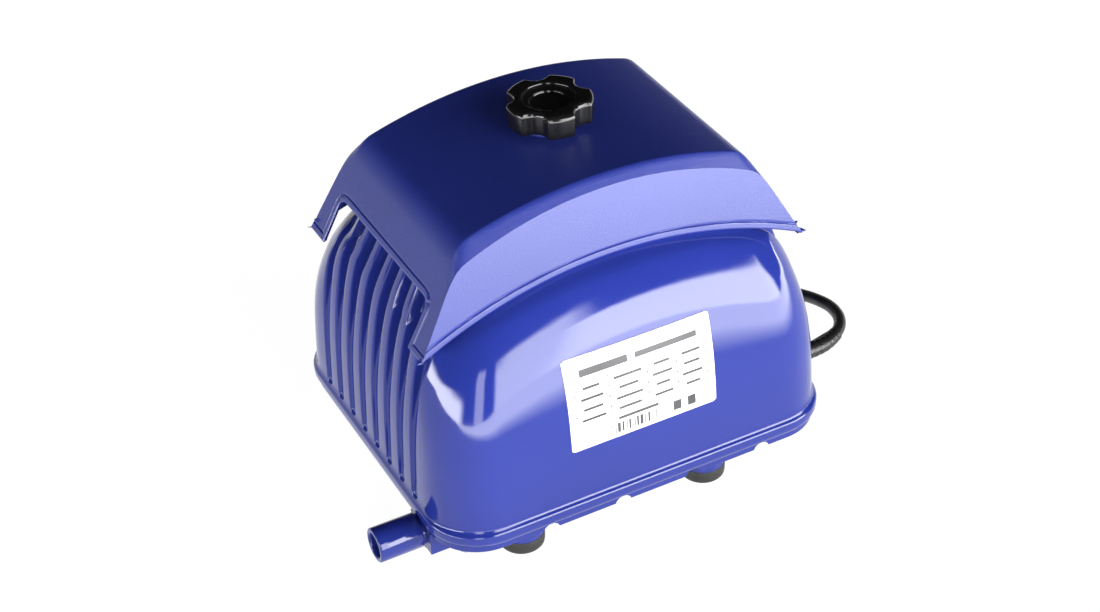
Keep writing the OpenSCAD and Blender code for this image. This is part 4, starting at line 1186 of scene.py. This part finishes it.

# %% [markdown]
# ## Floor and light
# The pump stands on a plain pale floor in a white studio. Glossy plastic shows its lamps more
# than its colour, so the light is a picture of a studio painted on the sky: a broad soft box
# at the front right with a taller one beside it, a narrow one at the front left, a low one
# at the left, and a dark ceiling, so that the satin top stays deep blue. The floor has a
# painted glow of its own. An even glow makes it read white, and a much stronger one in front
# is a painted pool of light that lights the walls from below like a lamp.

# %% Lay the floor
floor_mesh = bpy.data.meshes.new("studio_floor")
FLOOR = 9.0
FAR_GLOW, NEAR_GLOW = 0.97, 9.0      # strength of the floor's painted glow
GLOW_FROM, GLOW_TO = 0.34, 0.62      # metres in front of the pump between which it rises
floor_mesh.from_pydata([(-FLOOR, -FLOOR, 0), (FLOOR, -FLOOR, 0), (FLOOR, FLOOR, 0),
                        (-FLOOR, FLOOR, 0)], [], [(0, 1, 2, 3)])
floor = bpy.data.objects.new("studio_floor", floor_mesh)
floor.location.z = -0.0002
bpy.context.scene.collection.objects.link(floor)
paper = bpy.data.materials.new("floor_painted_glow")
paper.use_nodes = True
tree = paper.node_tree
shader = tree.nodes["Principled BSDF"]
shader.inputs["Base Color"].default_value = (0.12, 0.12, 0.12, 1)
shader.inputs["Roughness"].default_value = 0.9
shader.inputs["Specular IOR Level"].default_value = 0.1
shader.inputs["Emission Color"].default_value = (1, 1, 1, 1)
place = tree.nodes.new("ShaderNodeTexCoord")
over = tree.nodes.new("ShaderNodeVectorMath")
over.operation = "DOT_PRODUCT"
over.inputs[1].default_value = (0.35, -0.94, 0)
tree.links.new(place.outputs["Object"], over.inputs[0])
# painted pool of light: the floor's emission rises from an even glow far off to a strong glow in
# front
tree.links.new(between(tree, over.outputs["Value"], FAR_GLOW, NEAR_GLOW,
                       GLOW_FROM, GLOW_TO),
               shader.inputs["Emission Strength"])
floor_mesh.materials.append(paper)
print("floor laid")

# %% Paint the studio on the sky
world = bpy.data.worlds.new("studio")
bpy.context.scene.world = world
world.use_nodes = True
tree = world.node_tree
sky = tree.nodes["Background"]
place = tree.nodes.new("ShaderNodeTexCoord")
split = tree.nodes.new("ShaderNodeSeparateXYZ")
tree.links.new(place.outputs["Generated"], split.inputs["Vector"])


def sums(operation, a, b):
    node = tree.nodes.new("ShaderNodeMath")
    node.operation = operation
    for socket, value in zip(node.inputs, (a, b)):
        if isinstance(value, (int, float)):
            socket.default_value = value
        else:
            tree.links.new(value, socket)
    return node.outputs["Value"]


def rise(value, start, end):
    """0 before start, 1 after end, smooth in between; start may be the larger one."""
    node = tree.nodes.new("ShaderNodeMapRange")
    node.interpolation_type = "SMOOTHSTEP"
    node.inputs["From Min"].default_value = start
    node.inputs["From Max"].default_value = end
    tree.links.new(value, node.inputs["Value"])
    return node.outputs["Result"]


frontwards = sums("MULTIPLY", split.outputs["Y"], -1)
azimuth = sums("MULTIPLY", sums("ARCTAN2", split.outputs["X"], frontwards), 180 / math.pi)
height = sums("MULTIPLY", sums("ARCSINE", split.outputs["Z"], 0), 180 / math.pi)


def soft_box(left, right, side_soft, top, top_soft, strength):
    """A glow between two azimuths, from the floor up to a height, in degrees."""
    sides = sums("MULTIPLY", rise(azimuth, left - side_soft, left),
                 rise(azimuth, right + side_soft, right))
    return sums("MULTIPLY", sums("MULTIPLY", sides, rise(height, top + top_soft, top)),
                strength)


broad = soft_box(18, 56, 10, 22, 4, 14.0)
tall = soft_box(4, 14, 8, 32, 4, 10.0)
narrow = soft_box(-32, -22, 5, 30, 6, 6.0)
left_side = soft_box(-104, -62, 12, 8, 6, 16.0)
glow = sums("ADD", sums("MAXIMUM", broad, tall), sums("ADD", narrow, left_side))
glow = sums("ADD", glow, 0.012)
tree.links.new(glow, sky.inputs["Strength"])
sky.inputs["Color"].default_value = (1, 1, 1, 1)
print("studio painted")
